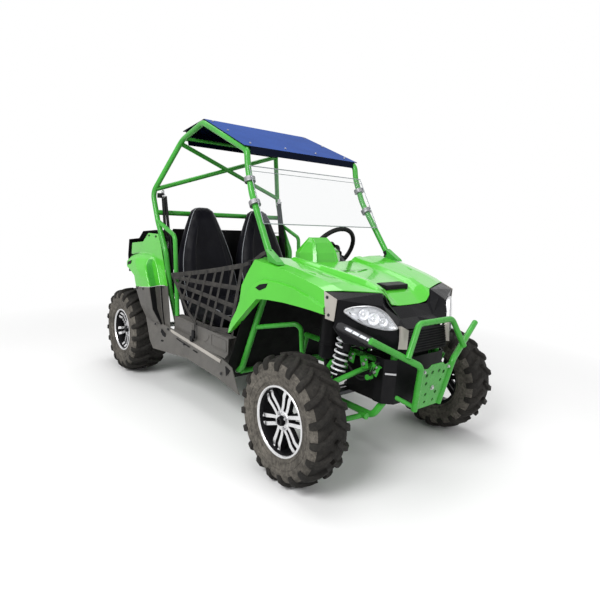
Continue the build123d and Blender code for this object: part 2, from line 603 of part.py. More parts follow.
DASH_Y = SIDE - 78
dash_at = {
    "hood": front(-417, DASH_Y, DASH_UP), "brow": front(-530, DASH_Y, DASH_UP - 28),
    "chin": front(-572, DASH_Y, 440), "wall": front(firewall_x(430) - 6, DASH_Y, 430),
}
dash_at.update({key + "_other": mirrored(point) for key, point in list(dash_at.items())})
COLUMN_TUBE = 34.0
wheel_axis = Vector(-cos(radians(WHEEL_TILT)), 0, sin(radians(WHEEL_TILT)))
wheel_centre = front(-605, WHEEL_CENTRE_Y, 645)
column_top = wheel_centre - wheel_axis * 60
column_low = wheel_centre - wheel_axis * 330
with BuildPart() as dashboard:
    add(folded(dash_at, [("hood", "brow", "brow_other", "hood_other")], (0, 0, -PANEL)))
    add(folded(dash_at, [("brow", "chin", "chin_other", "brow_other")], (PANEL, 0, 0)))
    add(folded(dash_at, [("chin", "wall", "wall_other", "chin_other")], (0, 0, PANEL)))
    add(tube([column_top, column_low], COLUMN_TUBE + 2 * GAP), mode=Mode.SUBTRACT)
    add([leg_hole, leg_hole.mirror(Plane.XZ)], mode=Mode.SUBTRACT)
dashboard.part.label = "dashboard"
export_step(dashboard.part, "parts/dashboard.step")

with BuildPart() as instrument_cowl:
    with BuildSketch(Plane.XY.offset(AXLE_Z + DASH_UP - 30)):
        with BuildLine():
            Polyline((FRONT_AXLE_X - 505, -120), (FRONT_AXLE_X - 505, 120), (FRONT_AXLE_X - 418, 132),
                     (FRONT_AXLE_X - 418, -132), close=True)
        make_face()
    with BuildSketch(Plane.XY.offset(AXLE_Z + DASH_UP + 90)):
        with BuildLine():
            Polyline((FRONT_AXLE_X - 505, -120), (FRONT_AXLE_X - 505, 120), (FRONT_AXLE_X - 428, 128),
                     (FRONT_AXLE_X - 428, -128), close=True)
        make_face()
    with BuildSketch(Plane.XY.offset(AXLE_Z + DASH_UP + 126)):
        with BuildLine():
            Polyline((FRONT_AXLE_X - 500, -66), (FRONT_AXLE_X - 500, 66), (FRONT_AXLE_X - 452, 72),
                     (FRONT_AXLE_X - 452, -72), close=True)
        make_face()
    loft(ruled=True)
    offset(amount=-PANEL, openings=instrument_cowl.faces().sort_by(Axis.Z)[0])
    add(dashboard.part, mode=Mode.SUBTRACT)
    kept = instrument_cowl.part.solids().sort_by(SortBy.VOLUME)[-1:]
    add(kept, mode=Mode.REPLACE)
instrument_cowl.part.label = "instrument_cowl"
export_step(instrument_cowl.part, "parts/instrument_cowl.step")

CAB_FLOOR_Y = SIDE - 76
CAB_REAR = 550.0              # rear edge of the floor, ahead of the rear axle
with BuildPart() as floor_pan:
    with BuildSketch(Plane.XY.offset(AXLE_Z + FLOOR_UP)):
        with BuildLine():
            Polyline((REAR_AXLE_X + CAB_REAR, CAB_FLOOR_Y), (REAR_AXLE_X + CAB_REAR, -CAB_FLOOR_Y),
                     (FRONT_AXLE_X + firewall_x(FLOOR_UP) - 1, -CAB_FLOOR_Y),
                     (FRONT_AXLE_X + firewall_x(FLOOR_UP) - 1, CAB_FLOOR_Y), close=True)
        make_face()
    extrude(amount=PANEL)
    add(main_frame.part, mode=Mode.SUBTRACT)
floor_pan.part.label = "floor_pan"
export_step(floor_pan.part, "parts/floor_pan.step")

GUARD_Y = SIDE - 22
GUARD_FOOT_UP = -40.0
GUARD_HEAD_UP = 424.0
with BuildPart() as splash_guards:
    foot = front(firewall_x(GUARD_FOOT_UP), 0, GUARD_FOOT_UP)
    head = front(firewall_x(GUARD_HEAD_UP), 0, GUARD_HEAD_UP)
    with BuildSketch(Plane.XZ.offset(-GUARD_Y)):
        with BuildLine():
            Polyline((foot.X, foot.Z), (head.X, head.Z), (head.X + PANEL, head.Z), (foot.X + PANEL, foot.Z),
                     close=True)
        make_face()
    extrude(amount=2 * GUARD_Y)
    add([main_frame.part, front_fenders.part], mode=Mode.SUBTRACT)
    add(tube([sill_rear, LEG_FOOT, LEG_BEND], CAGE_TUBE + 6), mode=Mode.SUBTRACT)
    add(mirror(tube([sill_rear, LEG_FOOT, LEG_BEND], CAGE_TUBE + 6), about=Plane.XZ, mode=Mode.PRIVATE),
        mode=Mode.SUBTRACT)
    kept = splash_guards.part.solids().sort_by(SortBy.VOLUME)[-1:]
    add(kept, mode=Mode.REPLACE)
splash_guards.part.label = "splash_guards"
export_step(splash_guards.part, "parts/splash_guards.step")

PEDAL_UP = 150.0
PEDAL_SIZE = (60.0, 80.0, 10.0)
with BuildPart() as pedals:
    for across in (WHEEL_CENTRE_Y - 70, WHEEL_CENTRE_Y + 70):
        pad = front(firewall_x(PEDAL_UP) - 70, across, PEDAL_UP)
        root = front(firewall_x(PEDAL_UP + 150) - 20, across, PEDAL_UP + 150)
        with BuildSketch(Plane(origin=pad, x_dir=(0, 1, 0), z_dir=(-0.8, 0, 0.6))):
            Rectangle(PEDAL_SIZE[0], PEDAL_SIZE[1])
        extrude(amount=PEDAL_SIZE[2])
        add(tube([pad, root], 14))
    add(tube([front(firewall_x(PEDAL_UP + 150) - 20, WHEEL_CENTRE_Y - 90, PEDAL_UP + 150),
              front(firewall_x(PEDAL_UP + 150) - 20, WHEEL_CENTRE_Y + 90, PEDAL_UP + 150)], 16))
    for across in (WHEEL_CENTRE_Y - 85, WHEEL_CENTRE_Y + 85):
        with BuildSketch(Plane(origin=front(firewall_x(PEDAL_UP + 150) - 26, across, PEDAL_UP + 150),
                               z_dir=(1, 0, 0))):
            Rectangle(24, 24)
        extrude(amount=60)
    add(splash_guards.part, mode=Mode.SUBTRACT)
    kept = pedals.part.solids().sort_by(SortBy.VOLUME)[-1:]
    add(kept, mode=Mode.REPLACE)
pedals.part.label = "pedals"
export_step(pedals.part, "parts/pedals.step")

# ---- rockers and rear body ----------------------------------------------------------------
ARCH_CLEARANCE = 4.0          # rear body ahead of the tyre
arch_x = TYRE_RADIUS + ARCH_CLEARANCE
STEP_Y = SIDE - 16
STEP_INNER_Y = SIDE - 72
rocker_at = {
    "nose_low": front(-462, SIDE + 2, -62), "nose_top": front(-539, SIDE + 2, 58),
    "strip_front": front(-638, SIDE + 4, 83), "strip_rear": rear(511, SIDE + 6, 112),
    "low_front": front(-670, SIDE + 14, -27), "low_mid": rear(740, SIDE + 20, -13),
    "low_rear": rear(394, SIDE + 70, -36), "arch_low": rear(356, SIDE + 75, 10),
    "arch_top": rear(arch_x, SIDE + 70, 145),
}
ROCKER_FACETS = [
    ("nose_low", "nose_top", "low_front"), ("nose_top", "strip_front", "low_front"),
    ("strip_front", "low_mid", "low_front"), ("strip_front", "strip_rear", "low_mid"),
    ("strip_rear", "low_rear", "low_mid"), ("strip_rear", "arch_top", "arch_low"),
    ("strip_rear", "arch_low", "low_rear"),
]
# step box section: distance from the centre line, height above the axles
STEP_SECTION = [
    (SIDE + 4, 90), (STEP_Y, 108), (STEP_Y, STEP_UP), (STEP_INNER_Y, STEP_UP), (STEP_INNER_Y, FLOOR_UP),
    (STEP_INNER_Y + PANEL, FLOOR_UP), (STEP_INNER_Y + PANEL, STEP_UP - PANEL),
    (STEP_Y - PANEL, STEP_UP - PANEL), (STEP_Y - PANEL, 106), (SIDE, 86),
]
STEP_REAR = 510.0
STEP_FRONT = -609.0
with BuildPart() as rockers:
    add(folded(rocker_at, ROCKER_FACETS, (0, -PANEL, 0)))
    with BuildSketch(Plane.YZ.offset(REAR_AXLE_X + STEP_REAR)):
        with BuildLine():
            Polyline(*[(y, AXLE_Z + up) for y, up in STEP_SECTION], close=True)
        make_face()
    extrude(amount=FRONT_AXLE_X + STEP_FRONT - REAR_AXLE_X - STEP_REAR)
    mirror(about=Plane.XZ)
    add(splash_guards.part, mode=Mode.SUBTRACT)
    kept = rockers.part.solids().sort_by(SortBy.VOLUME)[-2:]
    add(kept, mode=Mode.REPLACE)
rockers.part.label = "rockers"
export_step(rockers.part, "parts/rockers.step")

PANEL_SEAM = 0.3
side_at = {
    "foot_front": rear(498, SIDE + 6, 116), "door_low": rear(510, SIDE + 3, 149),
    "door_high": rear(447, SIDE + 5, 362), "arch_high": rear(190, SIDE + 100, 325),
    "arch_low": rear(arch_x - 2, SIDE + 71, 149),
}
with BuildPart() as rear_side_panels:
    add(folded(side_at, [("foot_front", "door_low", "door_high"), ("foot_front", "door_high", "arch_high"),
                         ("foot_front", "arch_high", "arch_low")], (0, -PANEL, 0)))
    mirror(about=Plane.XZ)
    add(rockers.part, mode=Mode.SUBTRACT)
    kept = rear_side_panels.part.solids().sort_by(SortBy.VOLUME)[-2:]
    add(kept, mode=Mode.REPLACE)
rear_side_panels.part.label = "rear_side_panels"
export_step(rear_side_panels.part, "parts/rear_side_panels.step")

quarter_at = {
    "seam_front": rear(447, SIDE + 5, 362 + PANEL_SEAM), "door_top": rear(336, SIDE, 602),
    "crown_front": rear(281, SIDE - 2, 661), "crown_rear": rear(110, SIDE - 2, 654),
    "step_top": rear(75, SIDE, 578), "tail_top": rear(-111, SIDE + 5, 576),
    "tail_low": rear(-115, SIDE + 10, 495), "bulge_top": rear(-30, SIDE + 60, 485),
    "bulge_rear": rear(10, SIDE + 100, 445), "bulge_front": rear(170, SIDE + 100, 410),
    "seam_rear": rear(187, SIDE + 100, 325 + PANEL_SEAM),
}
QUARTER_FACETS = [
    ("seam_front", "bulge_front", "seam_rear"), ("seam_front", "door_top", "bulge_front"),
    ("door_top", "crown_front", "crown_rear"), ("door_top", "crown_rear", "step_top"),
    ("door_top", "step_top", "bulge_front"), ("step_top", "bulge_top", "bulge_front"),
    ("bulge_front", "bulge_top", "bulge_rear"), ("step_top", "tail_top", "bulge_top"),
    ("tail_top", "tail_low", "bulge_top"),
]
with BuildPart() as rear_fenders:
    add(folded(quarter_at, QUARTER_FACETS, (0, -PANEL, 0)))
    mirror(about=Plane.XZ)
    add([rear_side_panels.part, hoop_cutter, hoop_cutter.mirror(Plane.XZ)], mode=Mode.SUBTRACT)
    kept = rear_fenders.part.solids().sort_by(SortBy.VOLUME)[-2:]
    add(kept, mode=Mode.REPLACE)
rear_fenders.part.label = "rear_fenders"
export_step(rear_fenders.part, "parts/rear_fenders.step")

SEAT_BASE_UP = 160.0
BACK_Y = SIDE - 124
# columns: distance ahead of the rear axle, height above it
BACK_SECTION = [(740, FLOOR_UP + PANEL), (740, SEAT_BASE_UP), (440, SEAT_BASE_UP), (310, 340), (245, 700)]
BACK_LEAN = (310 - 245) / (700 - 340)
with BuildPart() as back_panel:
    with BuildSketch(Plane.XZ.offset(-BACK_Y)):
        with BuildLine():
            Polyline(*[(REAR_AXLE_X + ahead, AXLE_Z + up) for ahead, up in BACK_SECTION],
                     *[(REAR_AXLE_X + ahead - PANEL, AXLE_Z + up - (PANEL if up < 300 else 0))
                       for ahead, up in reversed(BACK_SECTION[1:])],
                     (REAR_AXLE_X + 740 - PANEL, AXLE_Z + FLOOR_UP + PANEL), close=True)
        make_face()
    extrude(amount=2 * BACK_Y)
back_panel.part.label = "back_panel"
export_step(back_panel.part, "parts/back_panel.step")

DECK_Y = SIDE - 8
DECK_UP = 690.0
deck_front = 245 + (700 - DECK_UP) * BACK_LEAN - PANEL - GAP
# columns: distance ahead of the rear axle, height above it
DECK_SECTION = [(deck_front, DECK_UP), (45, 669), (-23, 617), (-202, 595), (-222, 481), (-205, 372)]
with BuildPart() as rear_deck:
    with BuildSketch(Plane.XZ.offset(-DECK_Y)):
        with BuildLine():
            Polyline(*[(REAR_AXLE_X + ahead, AXLE_Z + up) for ahead, up in DECK_SECTION],
                     *[(REAR_AXLE_X + ahead + (PANEL if up < 600 else 0), AXLE_Z + up - PANEL)
                       for ahead, up in reversed(DECK_SECTION)], close=True)
        make_face()
    extrude(amount=2 * DECK_Y)
    add([hoop_cutter, hoop_cutter.mirror(Plane.XZ)], mode=Mode.SUBTRACT)
    kept = rear_deck.part.solids().sort_by(SortBy.VOLUME)[-1:]
    add(kept, mode=Mode.REPLACE)
rear_deck.part.label = "rear_deck"
export_step(rear_deck.part, "parts/rear_deck.step")

# ---- seats, belts and nets ----------------------------------------------------------------
# seat side view: distance ahead of the rear axle, height above it
SEAT_SECTION = [
    (740, SEAT_BASE_UP + GAP), (900, 168), (920, 250), (905, 300), (830, 312), (570, 292), (500, 420),
    (365, 838), (320, 852), (288, 838), (300, 560), (322, 340), (430, 200), (452, SEAT_BASE_UP + GAP),
]
# back outline: half-width, height above the axles
SEAT_FRONT_VIEW = [
    (SEAT_WIDTH / 2 - 25, 160), (SEAT_WIDTH / 2, 240), (SEAT_WIDTH / 2 - 5, 470), (162, 620), (128, 700),
    (80, 828), (48, 853),
]
for name, side in (("seat_right", -1), ("seat_left", 1)):
    with BuildPart() as seat:
        with BuildSketch(Plane.XZ.offset(-side * SEAT_Y - SEAT_WIDTH / 2)):
            with BuildLine():
                Polyline(*[(REAR_AXLE_X + ahead, AXLE_Z + up) for ahead, up in SEAT_SECTION], close=True)
            make_face()
        extrude(amount=SEAT_WIDTH)
        with BuildSketch(Plane.YZ.offset(REAR_AXLE_X + 1000)):
            with BuildLine():
                Polyline(*[(side * SEAT_Y + y, AXLE_Z + up) for y, up in SEAT_FRONT_VIEW],
                         *[(side * SEAT_Y - y, AXLE_Z + up) for y, up in reversed(SEAT_FRONT_VIEW)],
                         close=True)
            make_face()
        extrude(amount=-800, mode=Mode.INTERSECT)
    seat.part.label = name
    export_step(seat.part, f"parts/{name}.step")

BELT_Y = SIDE - 48
belt_at = {
    "top_rear": rear(248, BELT_Y, 920), "top_front": rear(293, BELT_Y, 912),
    "low_front": rear(400, BELT_Y, 372), "low_rear": rear(355, BELT_Y, 372),
}
with BuildPart() as seat_belts:
    add(folded(belt_at, [("top_rear", "top_front", "low_front", "low_rear")], (0, -SHEET, 0)))
    with BuildSketch(Plane(origin=rear(228, BELT_Y - SHEET, 905), x_dir=(1, 0, 0), z_dir=(0, 1, 0))):
        Rectangle(72, 34)
    extrude(amount=HOOP_KINK_Y - BELT_Y)
    with BuildSketch(Plane(origin=rear(400, BELT_Y - SHEET, 340), x_dir=(1, 0, 0), z_dir=(0, 1, 0))):
        Rectangle(66, 80)
    extrude(amount=SIDE - 10 - BELT_Y)
    add(hoop_cutter, mode=Mode.SUBTRACT)
    kept = seat_belts.part.solids().sort_by(SortBy.VOLUME)[-1:]
    add(kept, mode=Mode.REPLACE)
    mirror(about=Plane.XZ)
seat_belts.part.label = "seat_belts"
export_step(seat_belts.part, "parts/seat_belts.step")

NET_REAR_Y = SIDE - 20 + (CAGE_TUBE - 6) / 2 + GAP + SHEET    # against the guard tube
NET_FRONT_Y = SIDE - 19
net_at = {
    "apex": rear(514, NET_REAR_Y, 422), "front_top": front(-500, NET_FRONT_Y, 588),
    "front_low": front(-545, NET_FRONT_Y, 276), "rear_low": rear(814, NET_REAR_Y - 8, 217),
    "apex_low": rear(522, NET_REAR_Y, 400),
    "buckle_a": rear(800, NET_REAR_Y + 6, 118), "buckle_b": rear(780, NET_REAR_Y + 6, 118),
    "rear_low_b": rear(790, NET_REAR_Y - 8, 226),
}
with BuildPart() as side_nets:
    add(folded(net_at, [("apex", "front_top", "front_low"), ("apex", "front_low", "rear_low"),
                        ("apex", "rear_low", "apex_low"), ("rear_low_b", "rear_low", "buckle_a"),
                        ("rear_low_b", "buckle_a", "buckle_b")], (0, -SHEET, 0)))
    mirror(about=Plane.XZ)
    add([cage_hoops.part, front_fenders.part, rockers.part, rear_side_panels.part, rear_fenders.part],
        mode=Mode.SUBTRACT)
    kept = side_nets.part.solids().sort_by(SortBy.VOLUME)[-2:]
    add(kept, mode=Mode.REPLACE)
side_nets.part.label = "side_nets"
export_step(side_nets.part, "parts/side_nets.step")

# ---- engine, exhaust and rear bumper ------------------------------------------------------
ENGINE = (230.0, 360.0, 225.0)    # length, width, height
engine_base = rear(215, 0, 55)
with BuildPart() as engine:
    with BuildSketch(Plane(origin=engine_base)):
        Rectangle(ENGINE[0], ENGINE[1])
    extrude(amount=ENGINE[2])
    chamfer(engine.edges().filter_by(Axis.Y), 30)
    add(main_frame.part, mode=Mode.SUBTRACT)
engine.part.label = "engine"
export_step(engine.part, "parts/engine.step")

MUFFLER_RADIUS = 52.0
muffler_centre = rear(-60, RAIL_Y + 98, 285)
with BuildPart() as exhaust:
    add(barrel(muffler_centre, (1, 0, 0), MUFFLER_RADIUS, 300))
    add(tube([muffler_centre + Vector(-150, 0, -12), muffler_centre + Vector(-176, 0, -20)], 36))
    add(tube([muffler_centre + Vector(148, 0, 0), muffler_centre + Vector(215, 0, -25),
              muffler_centre + Vector(262, -103, -60)], 34, 30))
    with BuildSketch(Plane(origin=rear(-60, RAIL_Y + 15 + 45, 230), x_dir=(0, 1, 0), z_dir=(1, 0, 0))):
        Rectangle(90, 24)
    extrude(amount=15, both=True)
    add([main_frame.part, engine.part], mode=Mode.SUBTRACT)
    kept = exhaust.part.solids().sort_by(SortBy.VOLUME)[-1:]
    add(kept, mode=Mode.REPLACE)
exhaust.part.label = "exhaust"
export_step(exhaust.part, "parts/exhaust.step")

TAIL_X = -(OVERHANG_REAR - BUMPER_TUBE / 2)
BUMPER_ROOT_Y = RAIL_Y + 15 + (CAGE_TUBE + BUMPER_TUBE) / 2 - 2    # lies against the frame rail
with BuildPart() as rear_bumper:
    add(tube([rear(-BODY_END + 60, BUMPER_ROOT_Y, 205), rear(TAIL_X, RAIL_Y + 60, 205),
              rear(TAIL_X, -RAIL_Y - 60, 205), rear(-BODY_END + 60, -BUMPER_ROOT_Y, 205)],
             BUMPER_TUBE, 60))
    add(tube([rear(TAIL_X, 90, 205), rear(TAIL_X, 90, 330), rear(TAIL_X, -90, 330), rear(TAIL_X, -90, 205)],
             BUMPER_TUBE - 4, 40))
    add(main_frame.part, mode=Mode.SUBTRACT)
    kept = rear_bumper.part.solids().sort_by(SortBy.VOLUME)[-1:]
    add(kept, mode=Mode.REPLACE)
rear_bumper.part.label = "rear_bumper"
export_step(rear_bumper.part, "parts/rear_bumper.step")

TAIL_LIGHT = (90.0, 45.0, 22.0)
with BuildPart() as tail_lights:
    with BuildSketch(Plane(origin=rear(-215, DECK_Y - 70, 440), z_dir=(-1, 0, 0))):
        Rectangle(TAIL_LIGHT[0], TAIL_LIGHT[1])
    extrude(amount=TAIL_LIGHT[2])
    mirror(about=Plane.XZ)
    add(rear_deck.part, mode=Mode.SUBTRACT)
    kept = tail_lights.part.solids().sort_by(SortBy.VOLUME)[-2:]
    add(kept, mode=Mode.REPLACE)
tail_lights.part.label = "tail_lights"
export_step(tail_lights.part, "parts/tail_lights.step")

# ---- suspension ---------------------------------------------------------------------------
PIVOT_RADIUS = 15.0
PIVOT_LENGTH = 40.0
HUB_RADIUS = 45.0
AXLE_RADIUS = 17.5
CARRIER_Y = 110.0
CARRIER_LENGTH = 40.0
CARRIER_RADIUS = 36.0
with BuildPart() as swingarm:
    for side in (-1, 1):
        add(tube([rear(430, side * CARRIER_Y, 25), rear(20, side * CARRIER_Y, 0)], CAGE_TUBE))
        add(barrel(rear(0, side * CARRIER_Y, 0), (0, 1, 0), CARRIER_RADIUS, CARRIER_LENGTH))
        with BuildSketch(Plane(origin=rear(22, side * CARRIER_Y, 40), z_dir=(0, 1, 0))):
            Rectangle(30, 40)
        extrude(amount=10, both=True)
    add(tube([rear(430, -140, 25), rear(430, 140, 25)], CAGE_TUBE + 4))
    add(tube([rear(200, -CARRIER_Y, 11), rear(200, CARRIER_Y, 11)], BUMPER_TUBE))
    add(barrel(rear(0, 0, 0), (0, 1, 0), AXLE_RADIUS + RUNNING_FIT, 300), mode=Mode.SUBTRACT)
    for side in (-1, 1):
        with BuildSketch(Plane(origin=rear(430, side * (140 + (RAIL_Y - 140) / 2), 10))):
            Rectangle(CAGE_TUBE, RAIL_Y - 140)
        extrude(amount=12, both=True)
    add(main_frame.part, mode=Mode.SUBTRACT)
    kept = swingarm.part.solids().sort_by(SortBy.VOLUME)[-1:]
    add(kept, mode=Mode.REPLACE)
swingarm.part.label = "swingarm"
export_step(swingarm.part, "parts/swingarm.step")


def shock(foot, head, damper_radius, spring_radius, spring_from, spring_to):
    """A coil-over: a damper between two eyes, with its spring as a sleeve."""
    line = head - foot
    with BuildPart() as unit:
        add(tube([foot + line.normalized() * 10, head - line.normalized() * 10], 2 * damper_radius))
        add(tube([foot + line * spring_from, foot + line * spring_to], 2 * spring_radius))
        add(barrel(foot, (1, 0, 0), PIVOT_RADIUS + 2, SHOCK_EYE))
        add(barrel(head, (1, 0, 0), PIVOT_RADIUS + 2, SHOCK_EYE))
    return unit.part


shock_foot = front(0, SHOCK_FOOT_Y, SHOCK_FOOT_UP)
shock_head = front(0, SHOCK_TOP_Y, SHOCK_TOP_UP)
with BuildPart() as front_shocks:
    add(shock(shock_foot, shock_head, 16, SPRING_RADIUS, 0.39, 0.9))
    mirror(about=Plane.XZ)
front_shocks.part.label = "front_shocks"
export_step(front_shocks.part, "parts/front_shocks.step")

rear_foot = rear(22, CARRIER_Y, 60 + PIVOT_RADIUS + 2 + GAP)
rear_head = rear(70, CARRIER_Y, 425 - ARM_TUBE / 2 - PIVOT_RADIUS - 2 - GAP)
with BuildPart() as rear_shocks:
    add(shock(rear_foot, rear_head, 15, 28, 0.2, 0.85))
    mirror(about=Plane.XZ)
    add(swingarm.part, mode=Mode.SUBTRACT)
rear_shocks.part.label = "rear_shocks"
export_step(rear_shocks.part, "parts/rear_shocks.step")

BALL_RADIUS = 16.0
BALL_HEIGHT = 34.0
UPPER_BALL_UP = 98.0
LOWER_BALL_UP = -70.0
upper_pivot = (UPPER_RAIL_Y + BUMPER_TUBE / 2 + PIVOT_RADIUS + GAP, UPPER_RAIL_UP)
lower_pivot = (RAIL_Y + CAGE_TUBE / 2 + PIVOT_RADIUS + GAP, -RAIL_DROP)
upper_ball = front(0, KINGPIN_Y, UPPER_BALL_UP)
lower_ball = front(0, KINGPIN_Y, LOWER_BALL_UP)
SHOCK_SEAT = 0.60             # share of the lower arm, from its pivots, where the shock stands
with BuildPart() as front_arms:
    for (pivot_y, pivot_up), ball in ((upper_pivot, upper_ball), (lower_pivot, lower_ball)):
        for reach in (-1, 1):
            pivot = front(reach * ARM_SPREAD, pivot_y, pivot_up)
            add(tube([pivot + (ball - pivot).normalized() * (PIVOT_RADIUS - 3), ball], ARM_TUBE))
            add(barrel(pivot, (1, 0, 0), PIVOT_RADIUS, PIVOT_LENGTH))
        add(barrel(ball, (0, 0, 1), BALL_RADIUS, BALL_HEIGHT))
    rear_leg = front(-ARM_SPREAD, *lower_pivot)
    front_leg = front(ARM_SPREAD, *lower_pivot)
    add(tube([rear_leg + (lower_ball - rear_leg) * SHOCK_SEAT,
              front_leg + (lower_ball - front_leg) * SHOCK_SEAT], ARM_TUBE - 6))
    for reach in (-1, 1):
        with BuildSketch(Plane(origin=front(reach * (SHOCK_EYE / 2 + GAP + BRACKET / 2), SHOCK_FOOT_Y + 16,
                                            SHOCK_FOOT_UP - 22), x_dir=(0, 1, 0), z_dir=(1, 0, 0))):
            Rectangle(62, 66)
        extrude(amount=BRACKET / 2, both=True)
    mirror(about=Plane.XZ)
    add(front_shocks.part, mode=Mode.SUBTRACT)
front_arms.part.label = "front_arms"
export_step(front_arms.part, "parts/front_arms.step")

# ---- steering -----------------------------------------------------------------------------
RACK_RADIUS = 22.0
ROD_RADIUS = 9.0
RACK_HALF = 120.0
rack_centre = front(-STEER_ARM, 0, TIE_ROD_UP)
with BuildPart() as steering_column:
    add(tube([column_top, column_low], COLUMN_TUBE))
    add(tube([column_low, front(-218, 60, 320), front(-STEER_ARM - 4, 60, TIE_ROD_UP + 10)], 22))
    add(barrel(rack_centre, (0, 1, 0), RACK_RADIUS, 2 * RACK_HALF))
    with BuildSketch(Plane(origin=front(-STEER_ARM - 35, 0, TIE_ROD_UP))):
        Rectangle(66, 60)
    extrude(amount=14, both=True)
    add(barrel(rack_centre, (0, 1, 0), ROD_RADIUS + GAP, 2 * RACK_HALF + 10), mode=Mode.SUBTRACT)
    with BuildSketch(Plane(origin=front(-STEER_ARM, 0, TIE_ROD_UP - RACK_RADIUS - 14))):
        Rectangle(40, 2 * (RAIL_Y + 4))
    extrude(amount=18)
    add(barrel(rack_centre, (0, 1, 0), ROD_RADIUS + GAP, 2 * RAIL_Y + 40), mode=Mode.SUBTRACT)
    add([main_frame.part, splash_guards.part], mode=Mode.SUBTRACT)
    kept = steering_column.part.solids().sort_by(SortBy.VOLUME)[-1:]
    add(kept, mode=Mode.REPLACE)
steering_column.part.label = "steering_column"
export_step(steering_column.part, "parts/steering_column.step")

WHEEL_TUBE = 26.0
HUB_DROP = 34.0               # the hub lies below the plane of the rim
wheel_plane = Plane(origin=wheel_centre, x_dir=(0, 1, 0), z_dir=wheel_axis)
wheel_hub = wheel_centre - wheel_axis * HUB_DROP
with BuildPart() as steering_wheel:
    with BuildSketch(Plane(origin=wheel_centre + wheel_plane.x_dir * (WHEEL_RADIUS - WHEEL_TUBE / 2),
                           x_dir=wheel_plane.x_dir, z_dir=wheel_plane.y_dir)):
        Circle(WHEEL_TUBE / 2)
    revolve(axis=Axis(wheel_centre, wheel_axis))
    add(barrel(wheel_hub - wheel_axis * 2, wheel_axis, 36, 30))
    for angle in (20, 90, 160):
        out = wheel_plane.x_dir * cos(radians(angle)) + wheel_plane.y_dir * sin(radians(angle))
        add(tube([wheel_hub + out * 20, wheel_centre + out * (WHEEL_RADIUS - WHEEL_TUBE / 2)], 16))
    add(tube([wheel_hub, column_top + wheel_axis * GAP], 24))
steering_wheel.part.label = "steering_wheel"
export_step(steering_wheel.part, "parts/steering_wheel.step")

ROD_END_Y = KINGPIN_Y - 14
with BuildPart() as steering_rack:
    add(barrel(rack_centre, (0, 1, 0), ROD_RADIUS, 2 * (ROD_END_Y - 10)))
    for side in (-1, 1):
        add(barrel(rack_centre + Vector(0, side * ROD_END_Y, 0), (0, 0, 1), 13, 18, 6))
steering_rack.part.label = "steering_rack"
export_step(steering_rack.part, "parts/steering_rack.step")

SPINDLE_RADIUS = 14.0
FRONT_DISC_OUT = 40.0         # wheel disc outboard of the tyre middle plane
REAR_DISC_OUT = 52.0
SPINDLE_END_Y = FRONT_TYRE_Y + FRONT_DISC_OUT + 16
UPRIGHT = (40.0, 28.0, 100.0)
with BuildPart() as knuckle_left:
    # round at its ends, so that it turns clear of the arms
    add(barrel(front(0, KINGPIN_Y, (UPPER_BALL_UP + LOWER_BALL_UP) / 2), (0, 0, 1), BALL_RADIUS - 1,
               UPPER_BALL_UP - LOWER_BALL_UP - BALL_HEIGHT - 2 * GAP))
    with BuildSketch(Plane(origin=front(0, KINGPIN_Y, -40))):
        Rectangle(UPRIGHT[0], UPRIGHT[1])
    extrude(amount=UPRIGHT[2])
    add(barrel(front(0, KINGPIN_Y + 30, 0), (0, 1, 0), 24, 34))
    add(barrel(front(0, (KINGPIN_Y + SPINDLE_END_Y) / 2, 0), (0, 1, 0), SPINDLE_RADIUS,
               SPINDLE_END_Y - KINGPIN_Y))
    add(tube([front(-6, KINGPIN_Y, TIE_ROD_UP - 24), front(-STEER_ARM, ROD_END_Y, TIE_ROD_UP - 24)], 18))
    add(barrel(front(-STEER_ARM, ROD_END_Y, TIE_ROD_UP - 24), (0, 0, 1), 14, 20))
knuckle_left.part.label = "knuckle_left"
export_step(knuckle_left.part, "parts/knuckle_left.step")

with BuildPart() as knuckle_right:
    add(knuckle_left.part.mirror(Plane.XZ))
knuckle_right.part.label = "knuckle_right"
export_step(knuckle_right.part, "parts/knuckle_right.step")

# ---- wheels -------------------------------------------------------------------------------
RIM_WALL = 6.0


def wheel_axis_line(axle_x):
    """The spin axis of an axle."""
    return Axis((axle_x, 0, AXLE_Z), (0, 1, 0))


def rim_section(middle_y, half_width, lip_radius, disc_out, hub_bore, hub_in, hub_out):
    """Half section of a rim, drawn outboard from the axle: barrel, lips, disc and hub."""
    drum = lip_radius - 16
    return [
        (middle_y - half_width, lip_radius), (middle_y - half_width, drum - RIM_WALL),
        (middle_y + disc_out - RIM_WALL, drum - RIM_WALL), (middle_y + disc_out - RIM_WALL, HUB_RADIUS),
        (middle_y + hub_in, HUB_RADIUS), (middle_y + hub_in, hub_bore), (middle_y + hub_out, hub_bore),
        (middle_y + hub_out, HUB_RADIUS), (middle_y + disc_out, HUB_RADIUS),
        (middle_y + disc_out, drum - RIM_WALL), (middle_y + half_width, drum - RIM_WALL),
        (middle_y + half_width, lip_radius), (middle_y + half_width - RIM_WALL, lip_radius),
        (middle_y + half_width - RIM_WALL, drum), (middle_y - half_width + RIM_WALL, drum),
        (middle_y - half_width + RIM_WALL, lip_radius),
    ]


